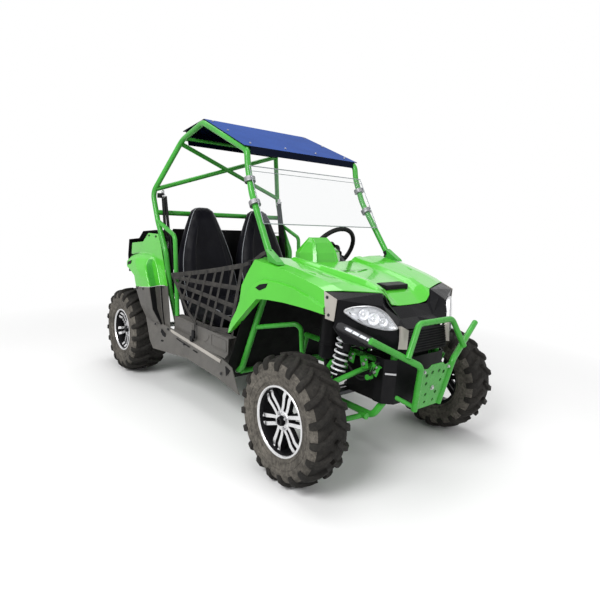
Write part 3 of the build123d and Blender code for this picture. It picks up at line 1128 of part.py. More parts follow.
def tyre_section(middle_y, half_width, rim_half, lip_radius):
    """Half section of a tyre, from bead to bead round the tread, with its hollow."""
    bead = lip_radius - 14
    carcass = 14.0
    inner = TYRE_RADIUS - carcass - 6
    return [
        (middle_y - rim_half + RIM_WALL + GAP, bead), (middle_y - rim_half + RIM_WALL + GAP, lip_radius + 4),
        (middle_y - half_width + 2, lip_radius + 34), (middle_y - half_width, TYRE_RADIUS - 55),
        (middle_y - half_width + 12, TYRE_RADIUS - 20), (middle_y - half_width + 34, TYRE_RADIUS - 3),
        (middle_y - 18, TYRE_RADIUS), (middle_y + 18, TYRE_RADIUS),
        (middle_y + half_width - 34, TYRE_RADIUS - 3), (middle_y + half_width - 12, TYRE_RADIUS - 20),
        (middle_y + half_width, TYRE_RADIUS - 55), (middle_y + half_width - 2, lip_radius + 34),
        (middle_y + rim_half - RIM_WALL - GAP, lip_radius + 4), (middle_y + rim_half - RIM_WALL - GAP, bead),
        (middle_y + rim_half - RIM_WALL - 18, bead), (middle_y + half_width - carcass - 2, lip_radius + 36),
        (middle_y + half_width - carcass - 14, inner), (middle_y - half_width + carcass + 14, inner),
        (middle_y - half_width + carcass + 2, lip_radius + 36), (middle_y - rim_half + RIM_WALL + 18, bead),
    ]


def spun(section, axle_x):
    """A section of (y, radius) points turned round an axle."""
    with BuildPart() as body:
        with BuildSketch(Plane(origin=(axle_x, 0, AXLE_Z), x_dir=(0, 1, 0), z_dir=(1, 0, 0))):
            with BuildLine():
                Polyline(*section, close=True)
            make_face()
        revolve(axis=wheel_axis_line(axle_x))
    return body.part


FRONT_RIM_HALF = 71.0
REAR_RIM_HALF = 100.0
hub_in = KINGPIN_Y + 48 - FRONT_TYRE_Y
hub_out = SPINDLE_END_Y - FRONT_TYRE_Y - 4
front_rim = spun(rim_section(FRONT_TYRE_Y, FRONT_RIM_HALF, FRONT_LIP_RADIUS, FRONT_DISC_OUT,
                             SPINDLE_RADIUS + RUNNING_FIT, hub_in, hub_out), FRONT_AXLE_X)
front_tyre = spun(tyre_section(FRONT_TYRE_Y, FRONT_TYRE_WIDTH / 2, FRONT_RIM_HALF, FRONT_LIP_RADIUS),
                  FRONT_AXLE_X)
rear_rim = spun(rim_section(REAR_TYRE_Y, REAR_RIM_HALF, REAR_LIP_RADIUS, REAR_DISC_OUT,
                            AXLE_RADIUS + RUNNING_FIT, 0, REAR_DISC_OUT + 18),
                REAR_AXLE_X)
rear_tyre = spun(tyre_section(REAR_TYRE_Y, REAR_TYRE_WIDTH / 2, REAR_RIM_HALF, REAR_LIP_RADIUS), REAR_AXLE_X)

with BuildPart() as front_rim_left:
    add(front_rim)
front_rim_left.part.label = "front_rim_left"
export_step(front_rim_left.part, "parts/front_rim_left.step")

with BuildPart() as front_rim_right:
    add(front_rim.mirror(Plane.XZ))
front_rim_right.part.label = "front_rim_right"
export_step(front_rim_right.part, "parts/front_rim_right.step")

with BuildPart() as front_tyre_left:
    add(front_tyre)
front_tyre_left.part.label = "front_tyre_left"
export_step(front_tyre_left.part, "parts/front_tyre_left.step")

with BuildPart() as front_tyre_right:
    add(front_tyre.mirror(Plane.XZ))
front_tyre_right.part.label = "front_tyre_right"
export_step(front_tyre_right.part, "parts/front_tyre_right.step")

with BuildPart() as rear_rims:
    add([rear_rim, rear_rim.mirror(Plane.XZ)])
rear_rims.part.label = "rear_rims"
export_step(rear_rims.part, "parts/rear_rims.step")

with BuildPart() as rear_tyres:
    add([rear_tyre, rear_tyre.mirror(Plane.XZ)])
rear_tyres.part.label = "rear_tyres"
export_step(rear_tyres.part, "parts/rear_tyres.step")

SPROCKET_RADIUS = 88.0
DISC_RADIUS = 92.0
with BuildPart() as rear_axle:
    add(barrel(rear(0, 0, 0), (0, 1, 0), AXLE_RADIUS, 2 * (REAR_TYRE_Y + 66)))
    for side in (-1, 1):
        add(barrel(rear(0, side * (REAR_TYRE_Y - 14), 0), (0, 1, 0), HUB_RADIUS - 8, 26))
    add(barrel(rear(0, 48, 0), (0, 1, 0), SPROCKET_RADIUS, 6))
    add(barrel(rear(0, -48, 0), (0, 1, 0), DISC_RADIUS, 4))
    add(barrel(rear(0, 0, 0), (0, 1, 0), AXLE_RADIUS + 12, 130))
rear_axle.part.label = "rear_axle"
export_step(rear_axle.part, "parts/rear_axle.step")
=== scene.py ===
from math import atan2, cos, pi, radians, sin

import bmesh
import bpy
from bpy.props import FloatProperty, FloatVectorProperty, IntProperty, PointerProperty
from mathutils import Matrix, Vector


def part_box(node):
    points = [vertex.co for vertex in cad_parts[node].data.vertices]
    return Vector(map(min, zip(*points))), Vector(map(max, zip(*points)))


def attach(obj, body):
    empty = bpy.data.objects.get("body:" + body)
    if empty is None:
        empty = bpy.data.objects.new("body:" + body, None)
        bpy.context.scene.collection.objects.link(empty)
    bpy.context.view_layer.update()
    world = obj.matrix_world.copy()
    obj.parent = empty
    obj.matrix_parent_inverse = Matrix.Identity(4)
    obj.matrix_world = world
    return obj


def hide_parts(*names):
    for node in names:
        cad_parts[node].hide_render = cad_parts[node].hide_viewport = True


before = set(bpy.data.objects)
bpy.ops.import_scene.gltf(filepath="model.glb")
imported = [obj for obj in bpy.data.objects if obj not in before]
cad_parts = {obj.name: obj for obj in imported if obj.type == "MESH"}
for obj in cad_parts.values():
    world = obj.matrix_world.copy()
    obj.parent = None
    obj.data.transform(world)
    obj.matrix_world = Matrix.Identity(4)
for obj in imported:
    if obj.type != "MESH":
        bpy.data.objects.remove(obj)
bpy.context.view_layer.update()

bl_info = {
    "name": "Side by Side Off-Road Vehicle",
    "version": (1, 0, 0),
    "blender": (4, 5, 0),
    "location": "3D View > Sidebar > Off-Road",
    "description": "Builds the finished surfaces of a two-seat off-road side by side round its frame",
    "category": "Object",
}

MM = 0.001
WELD = 2e-5                   # points nearer than this become one, m
SIDE = 500.0                  # side face of the body at the door opening, mm
REAR_TYRE_HALF = 117          # half the width of a rear tyre, mm
SEAT_ACROSS = 217             # middle of a seat from the vehicle's middle, mm


def middle(node):
    """The centre of a frame node's box."""
    low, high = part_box(node)
    return (low + high) / 2


FRONT_AXLE = Vector((middle("front_tyre_left").x, 0, middle("front_tyre_left").z))
REAR_AXLE = Vector((middle("rear_tyres").x, 0, middle("rear_tyres").z))
TYRE_RADIUS = FRONT_AXLE.z
FRONT_TYRE_Y = middle("front_tyre_left").y
REAR_TYRE_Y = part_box("rear_tyres")[1].y - REAR_TYRE_HALF * MM


def front(ahead, across, up):
    """A point in millimetres from the front axle line."""
    return FRONT_AXLE + Vector((ahead, across, up)) * MM


def rear(ahead, across, up):
    """A point in millimetres from the rear axle line."""
    return REAR_AXLE + Vector((ahead, across, up)) * MM


def lerp(a, b, share):
    """Part of the way from a to b."""
    return a + (b - a) * share


def turns(count):
    """Even turns round a circle."""
    return [2 * pi * step / count for step in range(count)]


def radial(turn):
    """The direction out from an axle at a turn."""
    return Vector((cos(turn), 0, sin(turn)))


def in_mm(*profile):
    """A lathe profile given in millimetres."""
    return [(along * MM, radius * MM) for along, radius in profile]


# ---- settings -----------------------------------------------------------------------------


def colour_setting(name, default, text):
    """A colour property."""
    return FloatVectorProperty(name=name, description=text, default=default, subtype="COLOR", min=0, max=1)


def length_setting(name, default, text):
    """A length property, in metres."""
    return FloatProperty(name=name, description=text, default=default, unit="LENGTH", min=0)


def power_setting(name, default, text):
    """A lamp's power."""
    return FloatProperty(name=name, description=text, default=default, unit="POWER", min=0)


class FinishSettings(bpy.types.PropertyGroup):
    """Colours of the vehicle's finishes."""
    green: colour_setting("Body green", (0.070, 0.45, 0.028), "Gloss body panels")
    frame_green: colour_setting("Frame green", (0.040, 0.30, 0.030), "Powder-coated tubes")
    trim_grey: colour_setting("Trim grey", (0.088, 0.084, 0.078), "Moulded sills and side panels")
    accent_grey: colour_setting("Accent grey", (0.34, 0.32, 0.29), "Corner plates at the lamps")
    # the roof's own navy, lightened by a painted reflection of blue sky
    roof: colour_setting("Roof", (0.018, 0.056, 0.235), "Gloss roof panel")
    # dust colour, laid thickly on the sidewalls, where it is partly real dust and partly painted light
    tyre_dust_and_light: colour_setting("Tyre dust", (0.25, 0.228, 0.195), "Dry dust on the tyres")
    webbing: colour_setting("Webbing", (0.038, 0.037, 0.036), "Door nets")


class TyreSettings(bpy.types.PropertyGroup):
    """Sizes of the knobby tyres."""
    lugs: IntProperty(name="Lugs", description="Lugs round each half of a tyre", default=19, min=8, max=40)
    lug_height: length_setting("Lug height", 0.016, "Height of a lug over the carcass")


class RimSettings(bpy.types.PropertyGroup):
    """Sizes of the cast wheels."""
    pairs: IntProperty(name="Spoke pairs", description="Pairs of spokes", default=6, min=3, max=10)
    spoke_width: length_setting("Spoke width", 0.0200, "Width of one spoke")
    spoke_depth: length_setting("Spoke depth", 0.018, "Depth of one spoke")


class PanelSettings(bpy.types.PropertyGroup):
    """Sizes of the moulded panels."""
    thickness: length_setting("Panel thickness", 0.0035, "Wall of the moulded panels")
    fold: length_setting("Fold", 0.009, "Width of the rounding along a fold")


class SoftSettings(bpy.types.PropertyGroup):
    """Sizes of the soft goods."""
    strap_width: length_setting("Strap width", 0.024, "Width of the door nets' straps")
    strap_thickness: length_setting("Strap thickness", 0.0022, "Thickness of the webbing")
    piping: length_setting("Piping", 0.0024, "Radius of the piping on the seats")


class StageSettings(bpy.types.PropertyGroup):
    """The lamps and the camera."""
    key_power: power_setting("Key power", 300, "Large side lamp")
    fill_power: power_setting("Fill power", 55, "Lamp near the camera")
    top_power: power_setting("Top power", 120, "Overhead lamp")
    lens: FloatProperty(name="Lens", description="Focal length", default=29.51, min=1, unit="CAMERA")


SETTINGS = {
    "utv_finish": FinishSettings, "utv_tyre": TyreSettings, "utv_rim": RimSettings,
    "utv_panel": PanelSettings, "utv_soft": SoftSettings, "utv_stage": StageSettings,
}


# ---- meshes -------------------------------------------------------------------------------


class Shape:
    """Points and faces gathered for one mesh."""

    def __init__(self):
        self.points = []
        self.faces = []

    def put(self, points, faces):
        """Adds points and the faces between them."""
        base = len(self.points)
        self.points.extend(Vector(point) for point in points)
        self.faces.extend([base + index for index in face] for face in faces)

    def rows(self, rows, ring=False, caps=False):
        """Adds quads between rows of as many points each."""
        count = len(rows[0])
        faces = []
        for row in range(len(rows) - 1):
            for index in range(count if ring else count - 1):
                beside = (index + 1) % count
                faces.append((row * count + index, row * count + beside,
                              (row + 1) * count + beside, (row + 1) * count + index))
        if caps:
            faces.append(tuple(reversed(range(count))))
            faces.append(tuple(range((len(rows) - 1) * count, len(rows) * count)))
        self.put([point for row in rows for point in row], faces)

    def tube(self, path, radius, sides=10, loop=False):
        """Adds a round bar along a path."""
        rings = []
        across = None
        for index, point in enumerate(path):
            after = path[(index + 1) % len(path)] if loop or index + 1 < len(path) else point
            before = path[index - 1] if loop or index else point
            run = (after - before).normalized()
            if across is None:
                across = run.orthogonal().normalized()
            across = (across - run * across.dot(run)).normalized()
            rise = run.cross(across)
            rings.append([point + (across * cos(turn) + rise * sin(turn)) * radius for turn in turns(sides)])
        if loop:
            rings.append(rings[0])
        self.rows(rings, ring=True, caps=not loop)

    def lathe(self, profile, centre, axis, steps=48, caps=False):
        """Turns a profile of (distance along the axis, radius) about an axis."""
        axis = Vector(axis).normalized()
        across = axis.orthogonal().normalized()
        rise = axis.cross(across)
        rings = [[centre + axis * along + (across * cos(turn) + rise * sin(turn)) * radius
                  for turn in turns(steps)] for along, radius in profile]
        self.rows(rings, ring=True, caps=caps)

    def prism(self, outline, push):
        """Adds an outline given depth along a vector."""
        self.rows([outline, [point + Vector(push) for point in outline]], ring=True, caps=True)

    def block(self, centre, size, turn=None):
        """Adds a box of a size in metres about a centre, turned by a matrix."""
        turn = turn or Matrix.Identity(3)
        half = [value / 2 for value in size]
        corners = [Vector((x, y, -half[2])) for x, y in
                   ((-half[0], -half[1]), (half[0], -half[1]), (half[0], half[1]), (-half[0], half[1]))]
        self.prism([centre + turn @ corner for corner in corners], turn @ Vector((0, 0, size[2])))

    def hexagon(self, centre, axis, radius, length):
        """Adds a bolt head with a washer."""
        self.lathe([(0, radius * 1.35), (length * 0.25, radius * 1.35)], centre, axis, 18, caps=True)
        self.lathe([(length * 0.25, radius), (length * 0.85, radius), (length, radius * 0.8)], centre, axis,
                   6, caps=True)

    def ribbon(self, path, across, width, thickness):
        """Adds a flat strap along a path, with its width along a direction."""
        rings = []
        for index, point in enumerate(path):
            run = (path[min(index + 1, len(path) - 1)] - path[max(index - 1, 0)]).normalized()
            wide = across - run * across.dot(run)
            wide = wide.normalized() * width / 2
            deep = run.cross(wide).normalized() * thickness / 2
            rings.append([point - wide - deep * 0.4, point - wide * 0.9 - deep, point + wide * 0.9 - deep,
                          point + wide - deep * 0.4, point + wide + deep * 0.4, point + wide * 0.9 + deep,
                          point - wide * 0.9 + deep, point - wide + deep * 0.4])
        self.rows(rings, ring=True, caps=True)


def spline(a, b, c, d, steps):
    """The points from b up to c of a smooth line through four points."""
    return [0.5 * (2 * b + (c - a) * t + (2 * a - 5 * b + 4 * c - d) * t * t
                   + (3 * b - a - 3 * c + d) * t ** 3)
            for t in (step / steps for step in range(steps))]


def curve_through(points, steps):
    """A smooth line through points, with as many steps between each two."""
    ends = [points[0] * 2 - points[1], *points, points[-1] * 2 - points[-2]]
    spans = [spline(*ends[index:index + 4], steps) for index in range(len(ends) - 3)]
    return sum(spans, []) + [points[-1]]


def loop_through(points, steps):
    """A smooth closed line through points."""
    ends = [points[-1], *points, *points[:2]]
    return sum((spline(*ends[index:index + 4], steps) for index in range(len(points))), [])


def bend(place, *spots):
    """A smooth line through spots in millimetres from one of the axle lines."""
    return curve_through([place(*spot) for spot in spots], 8)


def make(shape, name, finish, replaces=(), body="chassis", outward=None, mirrored=False, thickness=0,
         fold=0, edge=0, sharp=42):
    """Makes one piece of the vehicle from a shape, riding on a body."""
    mesh = bpy.data.meshes.new(name)
    mesh.from_pydata([tuple(point) for point in shape.points], [], shape.faces)
    work = bmesh.new()
    work.from_mesh(mesh)
    bmesh.ops.remove_doubles(work, verts=work.verts, dist=WELD)
    bmesh.ops.recalc_face_normals(work, faces=work.faces)
    if outward and sum(face.normal.dot(Vector(outward)) * face.calc_area() for face in work.faces) < 0:
        bmesh.ops.reverse_faces(work, faces=work.faces)
    if mirrored:
        copied = bmesh.ops.duplicate(work, geom=work.verts[:] + work.edges[:] + work.faces[:])["geom"]
        points, faces = ([item for item in copied if isinstance(item, kind)]
                         for kind in (bmesh.types.BMVert, bmesh.types.BMFace))
        bmesh.ops.scale(work, vec=(1, -1, 1), verts=points)
        bmesh.ops.reverse_faces(work, faces=faces)
        bmesh.ops.remove_doubles(work, verts=work.verts, dist=WELD)
    work.to_mesh(mesh)
    work.free()
    obj = bpy.data.objects.new(name, mesh)
    bpy.context.scene.collection.objects.link(obj)
    obj.data.materials.append(finishes()[finish] if isinstance(finish, str) else finish)
    if fold:
        rounded(obj, "fold", fold, 3, 6)
    if thickness:
        wall = obj.modifiers.new("wall", "SOLIDIFY")
        wall.thickness = thickness
        wall.offset = -1
    if edge:
        rounded(obj, "edge", edge, 2, 38)
    settle(obj)
    for polygon in obj.data.polygons:
        polygon.use_smooth = True
    obj.data.set_sharp_from_angle(angle=radians(sharp))
    if fold or edge:
        obj.modifiers.new("flat faces", "WEIGHTED_NORMAL").keep_sharp = True
    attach(obj, body)
    if replaces:
        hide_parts(*replaces)
    return obj


def side_bolts(name, radius, *spots):
    """Dark bolt heads on both sides of the vehicle, facing out."""
    bolts = Shape()
    for spot in spots:
        bolts.hexagon(spot, (0, 1, 0), radius, 0.006)
    make(bolts, name, "dark_steel", mirrored=True, sharp=30)


def rounded(obj, name, width, segments, angle):
    """Rounds an object's edges that turn by more than an angle in degrees."""
    rounding = obj.modifiers.new(name, "BEVEL")
    rounding.width = width
    rounding.segments = segments
    rounding.limit_method = "ANGLE"
    rounding.angle_limit = radians(angle)


def settle(obj):
    """Turns an object's modifiers into its mesh."""
    if obj.modifiers:
        shown = obj.evaluated_get(bpy.context.evaluated_depsgraph_get())
        obj.data = bpy.data.meshes.new_from_object(shown)
        obj.modifiers.clear()


def repaint(nodes, finish, edge=0):
    """Gives frame nodes a finish and, where they are folded plate, softened edges."""
    for name in nodes:
        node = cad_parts[name]
        node.data.materials.clear()
        node.data.materials.append(finish)
        if edge:
            rounded(node, "edge", edge, 2, 25)
            node.modifiers.new("flat faces", "WEIGHTED_NORMAL").keep_sharp = True


# ---- finishes -----------------------------------------------------------------------------

COAT_ROUGHNESS = 0.04
PLASTIC_DUST = (0.30, 0.27, 0.23)
WEBBING_DUST = (0.2, 0.18, 0.155)
THREAD_SCALE = 0.314 / 0.0016           # of the wave pattern, for threads 1.6 mm apart


def feed(tree, node, inputs):
    """Sets a node's inputs to plain values, or links them to other nodes' outputs."""
    for name, value in inputs.items():
        if isinstance(value, bpy.types.NodeSocket):
            tree.links.new(value, node.inputs[name])
        else:
            node.inputs[name].default_value = value


def add(tree, kind, inputs, output=0, **ways):
    """Adds a node of a kind and gives one of its outputs."""
    node = tree.nodes.new(f"ShaderNode{kind}")
    for way, value in ways.items():
        setattr(node, way, value)
    feed(tree, node, inputs)
    return node.outputs[output]


def new_finish(name, roughness=0.5, metallic=0.0, coat=0.0, specular=0.5):
    """A new material, its tree and its shader."""
    finish = bpy.data.materials.new(name)
    finish.use_nodes = True
    tree = finish.node_tree
    shader = tree.nodes["Principled BSDF"]
    feed(tree, shader, {"Roughness": roughness, "Metallic": metallic, "Coat Weight": coat,
                        "Coat Roughness": COAT_ROUGHNESS, "Specular IOR Level": specular})
    return finish, tree, shader


def place(tree):
    """The coordinates that every pattern hangs on: the object's own."""
    return add(tree, "TexCoord", {}, "Object")


def cloud(tree, scale, detail=4.0, rough=0.55):
    """A noise pattern."""
    return add(tree, "TexNoise", {"Vector": place(tree), "Scale": scale, "Detail": detail,
                                  "Roughness": rough}, "Fac")


def spread(tree, value, low, high, start=0.35, end=0.65):
    """A pattern's values mapped to a range."""
    return add(tree, "MapRange", {"Value": value, "From Min": start, "From Max": end, "To Min": low,
                                  "To Max": high}, "Result")


def combine(tree, first, second, operation="MULTIPLY"):
    """Two values multiplied, or put through another operation."""
    return add(tree, "Math", {0: first, 1: second}, operation=operation)


def blend_colours(tree, share, first, second):
    """Two colours mixed by a pattern."""
    first, second = (colour if isinstance(colour, bpy.types.NodeSocket) else (*colour[:3], 1)
                     for colour in (first, second))
    return add(tree, "Mix", {"Factor": share, 6: first, 7: second}, 2, data_type="RGBA")


def mottled(tree, scale, dark, pale):
    """A colour that drifts between two."""
    return blend_colours(tree, spread(tree, cloud(tree, scale), 0, 1), dark, pale)


def relief(tree, height, depth):
    """A bump from a pattern, of a depth in metres."""
    return add(tree, "Bump", {"Height": height, "Distance": depth}, "Normal")


def shade(colour, factor):
    """A colour made lighter or darker."""
    return tuple(min(1.0, channel * factor) for channel in colour[:3])


def plastic(name, colour, roughness, coat=0.0, grain=900, depth=0.00008, mottle=0.12, gloss_spread=0.06,
            dust=0.0, specular=0.5):
    """Moulded plastic: mottled colour, uneven gloss and a fine grain, with a little dust if wanted."""
    finish, tree, shader = new_finish(name, coat=coat, specular=specular)
    tint = mottled(tree, 4, shade(colour, 1 - mottle), shade(colour, 1 + mottle))
    if dust:
        tint = blend_colours(tree, spread(tree, cloud(tree, 14, 8, 0.7), 0, dust, 0.45, 0.75), tint,
                             PLASTIC_DUST)
    gloss = spread(tree, cloud(tree, 22), roughness - gloss_spread, roughness + gloss_spread)
    feed(tree, shader, {"Base Color": tint, "Roughness": gloss,
                        "Normal": relief(tree, cloud(tree, grain, 2), depth)})
    return finish


def metal(name, colour, roughness, metallic=1.0, coat=0.0, grain=300, depth=0.00001, specular=0.5):
    """Plain metal or powder coat, slightly uneven."""
    finish, tree, shader = new_finish(name, metallic=metallic, coat=coat, specular=specular)
    feed(tree, shader, {"Base Color": mottled(tree, 9, shade(colour, 0.86), shade(colour, 1.08)),
                        "Roughness": spread(tree, cloud(tree, 35), roughness * 0.75, roughness * 1.3),
                        "Normal": relief(tree, cloud(tree, grain, 3), depth)})
    return finish


def turned_metal(name, colour, centre):
    """A lathe-cut face: fine rings about the wheel's axis."""
    finish, tree, shader = new_finish(name, metallic=0.9)
    about = add(tree, "Mapping", {"Location": -centre, "Vector": place(tree)}, "Vector")
    rings = add(tree, "TexWave", {"Vector": about, "Scale": 150, "Distortion": 0.4}, "Fac",
                wave_type="RINGS", rings_direction="Y")
    feed(tree, shader, {"Base Color": blend_colours(tree, rings, shade(colour, 0.84), colour),
                        "Roughness": spread(tree, rings, 0.22, 0.36, 0, 1),
                        "Normal": relief(tree, rings, 0.00004)})
    return finish


def dusty_rubber(name, colour, dust, amount):
    """Tyre rubber with dry dust and scuffs; laid on thickly, the dust also stands for painted light."""
    finish, tree, shader = new_finish(name, specular=0.12)
    fine = spread(tree, cloud(tree, 60, 8, 0.75), 0.1 * amount, 0.95 * amount, 0.35, 0.7)
    patch = spread(tree, cloud(tree, 7, 5, 0.6), 0.25, 1.0, 0.3, 0.7)
    feed(tree, shader, {"Base Color": blend_colours(tree, combine(tree, fine, patch), colour, dust),
                        "Roughness": spread(tree, cloud(tree, 40), 0.62, 0.86),
                        "Normal": relief(tree, cloud(tree, 420, 6, 0.7), 0.0006)})
    return finish


def woven(name, colour, dust):
    """Flat webbing: a crossed weave with paler high threads and darker low ones, painted light and shade on
    the weave.
    """
    finish, tree, shader = new_finish(name, roughness=0.78, specular=0.12)
    threads = [add(tree, "TexWave", {"Vector": place(tree), "Scale": scale * THREAD_SCALE, "Distortion": 0.6},
                   "Fac", bands_direction=direction) for direction, scale in (("X", 1.0), ("Z", 1.25))]
    weave = combine(tree, *threads)
    # colour follows the weave's height, as the bump does: painted light on the high threads and painted shade
    # between them
    tint = blend_colours(tree, weave, shade(colour, 0.62), shade(colour, 1.5))
    tint = blend_colours(tree, spread(tree, cloud(tree, 25, 6), 0, dust), tint, WEBBING_DUST)
    feed(tree, shader, {"Base Color": tint, "Normal": relief(tree, weave, 0.0005)})
    return finish


def vinyl(name, colour):
    """Seat vinyl with a leather grain."""
    finish, tree, shader = new_finish(name, specular=0.07)
    cells = add(tree, "TexVoronoi", {"Vector": place(tree), "Scale": 420}, "Distance")
    feed(tree, shader, {"Sheen Weight": 0.01, "Roughness": spread(tree, cloud(tree, 30), 0.34, 0.5),
                        "Base Color": mottled(tree, 6, shade(colour, 0.8), shade(colour, 1.35)),
                        "Normal": relief(tree, cells, 0.0002)})
    return finish


def clear(name, colour, alpha, roughness=0.03):
    """Clear sheet or lens."""
    finish, tree, shader = new_finish(name, roughness=roughness, coat=1.0)
    feed(tree, shader, {"Base Color": mottled(tree, 8, shade(colour, 0.96), colour), "Alpha": alpha,
                        "Normal": relief(tree, cloud(tree, 12, 2), 0.0002)})
    return finish


def glowing(name, colour, strength):
    """A lit lens of white plastic."""
    finish, tree, shader = new_finish(name, roughness=0.25, coat=0.6)
    feed(tree, shader, {"Base Color": mottled(tree, 90, shade(colour, 0.85), colour),
                        "Emission Color": (*colour[:3], 1), "Emission Strength": strength})
    return finish


FINISHES = {}


def finishes():
    """Every finish of the vehicle by name, made once."""
    if not FINISHES:
        tones = bpy.context.scene.utv_finish
        FINISHES.update({
            "green": plastic("green_gloss", tones.green, 0.2, coat=0.4, grain=160, depth=0.00002, mottle=0.04,
                             gloss_spread=0.02, specular=0.3),
            "frame": metal("green_powder_coat", tones.frame_green, 0.3, metallic=0.0, coat=0.15, grain=420,
                           specular=0.25),
            "black": plastic("black_gloss", (0.004, 0.004, 0.005), 0.26, coat=0.05, grain=220, depth=0.00004,
                             specular=0.08),
            "satin": plastic("black_satin", (0.006, 0.006, 0.007), 0.42, grain=1100, depth=0.0001, dust=0.015,
                             specular=0.1),
            "grain": plastic("black_grained", (0.006, 0.006, 0.0065), 0.6, grain=1500, depth=0.0003,
                             dust=0.02, specular=0.08),
            "capsule": plastic("black_capsule", (0.022, 0.022, 0.024), 0.3, grain=900, specular=0.4),
            "trim": plastic("grey_moulded", tones.trim_grey, 0.5, grain=1300, depth=0.00022, dust=0.12,
                            specular=0.3),
            "accent": plastic("grey_accent", tones.accent_grey, 0.44, grain=1300, depth=0.00015,
                              specular=0.3),
            # no specular of its own: the bright blue is partly the panel's navy and partly a painted
            # reflection of blue sky
            "roof": plastic("roof_navy_and_painted_sky", tones.roof, 0.24, coat=0.12, grain=40, depth=0.00004, mottle=0.08,
                            gloss_spread=0.02, specular=0.0),
            # the roof colour darkened to a twentieth for the faces that turn away from the sky: painted shade
            "roof_painted_shade": plastic("roof_painted_shade", shade(tones.roof, 0.05), 0.35, mottle=0.05, specular=0.04),
            "rubber": plastic("grip_rubber", (0.010, 0.010, 0.010), 0.62, grain=900, depth=0.0003,
                              specular=0.15),
            # sidewalls: thick pale dust, partly real dust and partly painted light; tread and lugs:
            # near-black rubber with little dust, partly painted shade
            "tyre": dusty_rubber("tyre_rubber_dust_and_painted_light", (0.028, 0.026, 0.023), tones.tyre_dust_and_light, 0.9),
            "lug": dusty_rubber("lug_rubber_and_painted_shade", (0.010, 0.0095, 0.009), tones.tyre_dust_and_light, 0.13),
            "steel": metal("zinc_steel", (0.50, 0.50, 0.51), 0.34),
            "dark_steel": metal("dark_steel", (0.05, 0.05, 0.055), 0.42, metallic=0.5),
            "cast": metal("cast_alloy", (0.24, 0.24, 0.25), 0.5, metallic=0.85, grain=500, depth=0.0001),
            "white": metal("spring_white", (0.74, 0.74, 0.77), 0.3, metallic=0.0, coat=0.4),
            "chrome": metal("reflector", (0.86, 0.87, 0.90), 0.16, metallic=0.6),
            "silver": metal("lamp_silver", (0.56, 0.57, 0.60), 0.3, metallic=0.4),
            "vinyl": vinyl("seat_vinyl", (0.004, 0.004, 0.006)),
            # pale grey piping round the seats: a painted highlight along their edges
            "piping": plastic("piping_painted_highlight", (0.26, 0.27, 0.29), 0.45),
            "belt": woven("belt_webbing", (0.012, 0.012, 0.013), 0.04),
            "net": woven("net_webbing", tones.webbing, 0.14),
            "screen": clear("clear_screen", (0.45, 0.50, 0.52), 0.06),
            "screen_edge": clear("screen_edge", (0.22, 0.25, 0.27), 0.85, 0.2),
            "lens": clear("lamp_lens", (0.93, 0.95, 0.97), 0.12),
            "lit": glowing("lit_lens", (0.80, 0.84, 0.90), 0.12),
            "red": plastic("red_lens", (0.36, 0.006, 0.006), 0.14, coat=0.4, specular=0.3),
            "dial": plastic("dial_face", (0.01, 0.014, 0.018), 0.08, coat=1.0),
        })
    return FINISHES


# ---- frame and panels that keep their own shape -------------------------------------------

FRAME_SECTIONS = ("rear_frame", "cab_rails", "front_legs_left", "front_legs_right", "front_rails_left",
                  "front_rails_right")
ROOF_TOP_LEAN = 0.4           # faces that look up less than this are the roof's edges and underside, which get a painted shade


class UTV_OT_frame_finish(bpy.types.Operator):
    """Finishes the frame, the cage and the other parts that keep their own shape"""
    bl_idname = "utv.frame_finish"
    bl_label = "Frame finishes"

    def execute(self, context):
        tone = finishes()
        for finish, edge, nodes in (
            ("frame", 0, (*FRAME_SECTIONS, "cage_hoops", "cage_cross_tubes", "cage_x_brace", "front_bumper",
                          "rear_bumper", "swingarm", "front_arms")),
            ("frame", 0.0012, ("skid_plate",)),
            ("roof", 0.0015, ("roof_panel",)),
            ("black", 0.0035, ("front_fascia",)),
            ("satin", 0.002, ("hood_scoop", "lower_shroud")),
            ("grain", 0.003, ("dashboard", "splash_guards", "back_panel", "rear_deck")),
            ("grain", 0.001, ("floor_pan", "grille")),
            ("accent", 0.001, ("fascia_accents",)),
            ("trim", 0.003, ("rockers",)),
            ("rubber", 0, ("steering_wheel",)),
            ("steel", 0, ("steering_rack", "rear_axle")),
            ("dark_steel", 0, ("pedals", "exhaust", "steering_column", "knuckle_left", "knuckle_right")),
            ("cast", 0.0008, ("windshield_clamps",)),
            ("cast", 0.004, ("engine",)),
            ("screen", 0, ("windshield",)),
            ("red", 0.003, ("tail_lights",)),
        ):
            repaint(nodes, tone[finish], edge)
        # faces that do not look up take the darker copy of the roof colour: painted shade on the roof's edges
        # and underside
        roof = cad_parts["roof_panel"].data
        roof.materials.append(tone["roof_painted_shade"])
        for polygon in roof.polygons:
            if polygon.normal.z < ROOF_TOP_LEAN:
                polygon.material_index = 1
        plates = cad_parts["fascia_accents"].data
        plates.materials.append(tone["satin"])
        brow = front(120, 120, 432)
        for polygon in plates.polygons:
            spot = polygon.center
            if spot.x > brow.x and abs(spot.y) > brow.y and spot.z > brow.z:
                polygon.material_index = 1
        return {"FINISHED"}


# ---- wheels -------------------------------------------------------------------------------

# half the width of the tyre, seat of its beads, radius of the rim's lip, foot of the spokes: mm
FRONT_WHEEL = (90, 71, 150, 40)
REAR_WHEEL = (REAR_TYRE_HALF, 100, 137, 52)
# tread that takes the near-black lug rubber, a painted shade on the tread band: share of the half width, and
# depth below the crown in mm
TREAD_SHARE, TREAD_DEPTH = 0.86, 24
MACHINED_TINT = (0.74, 0.74, 0.75)
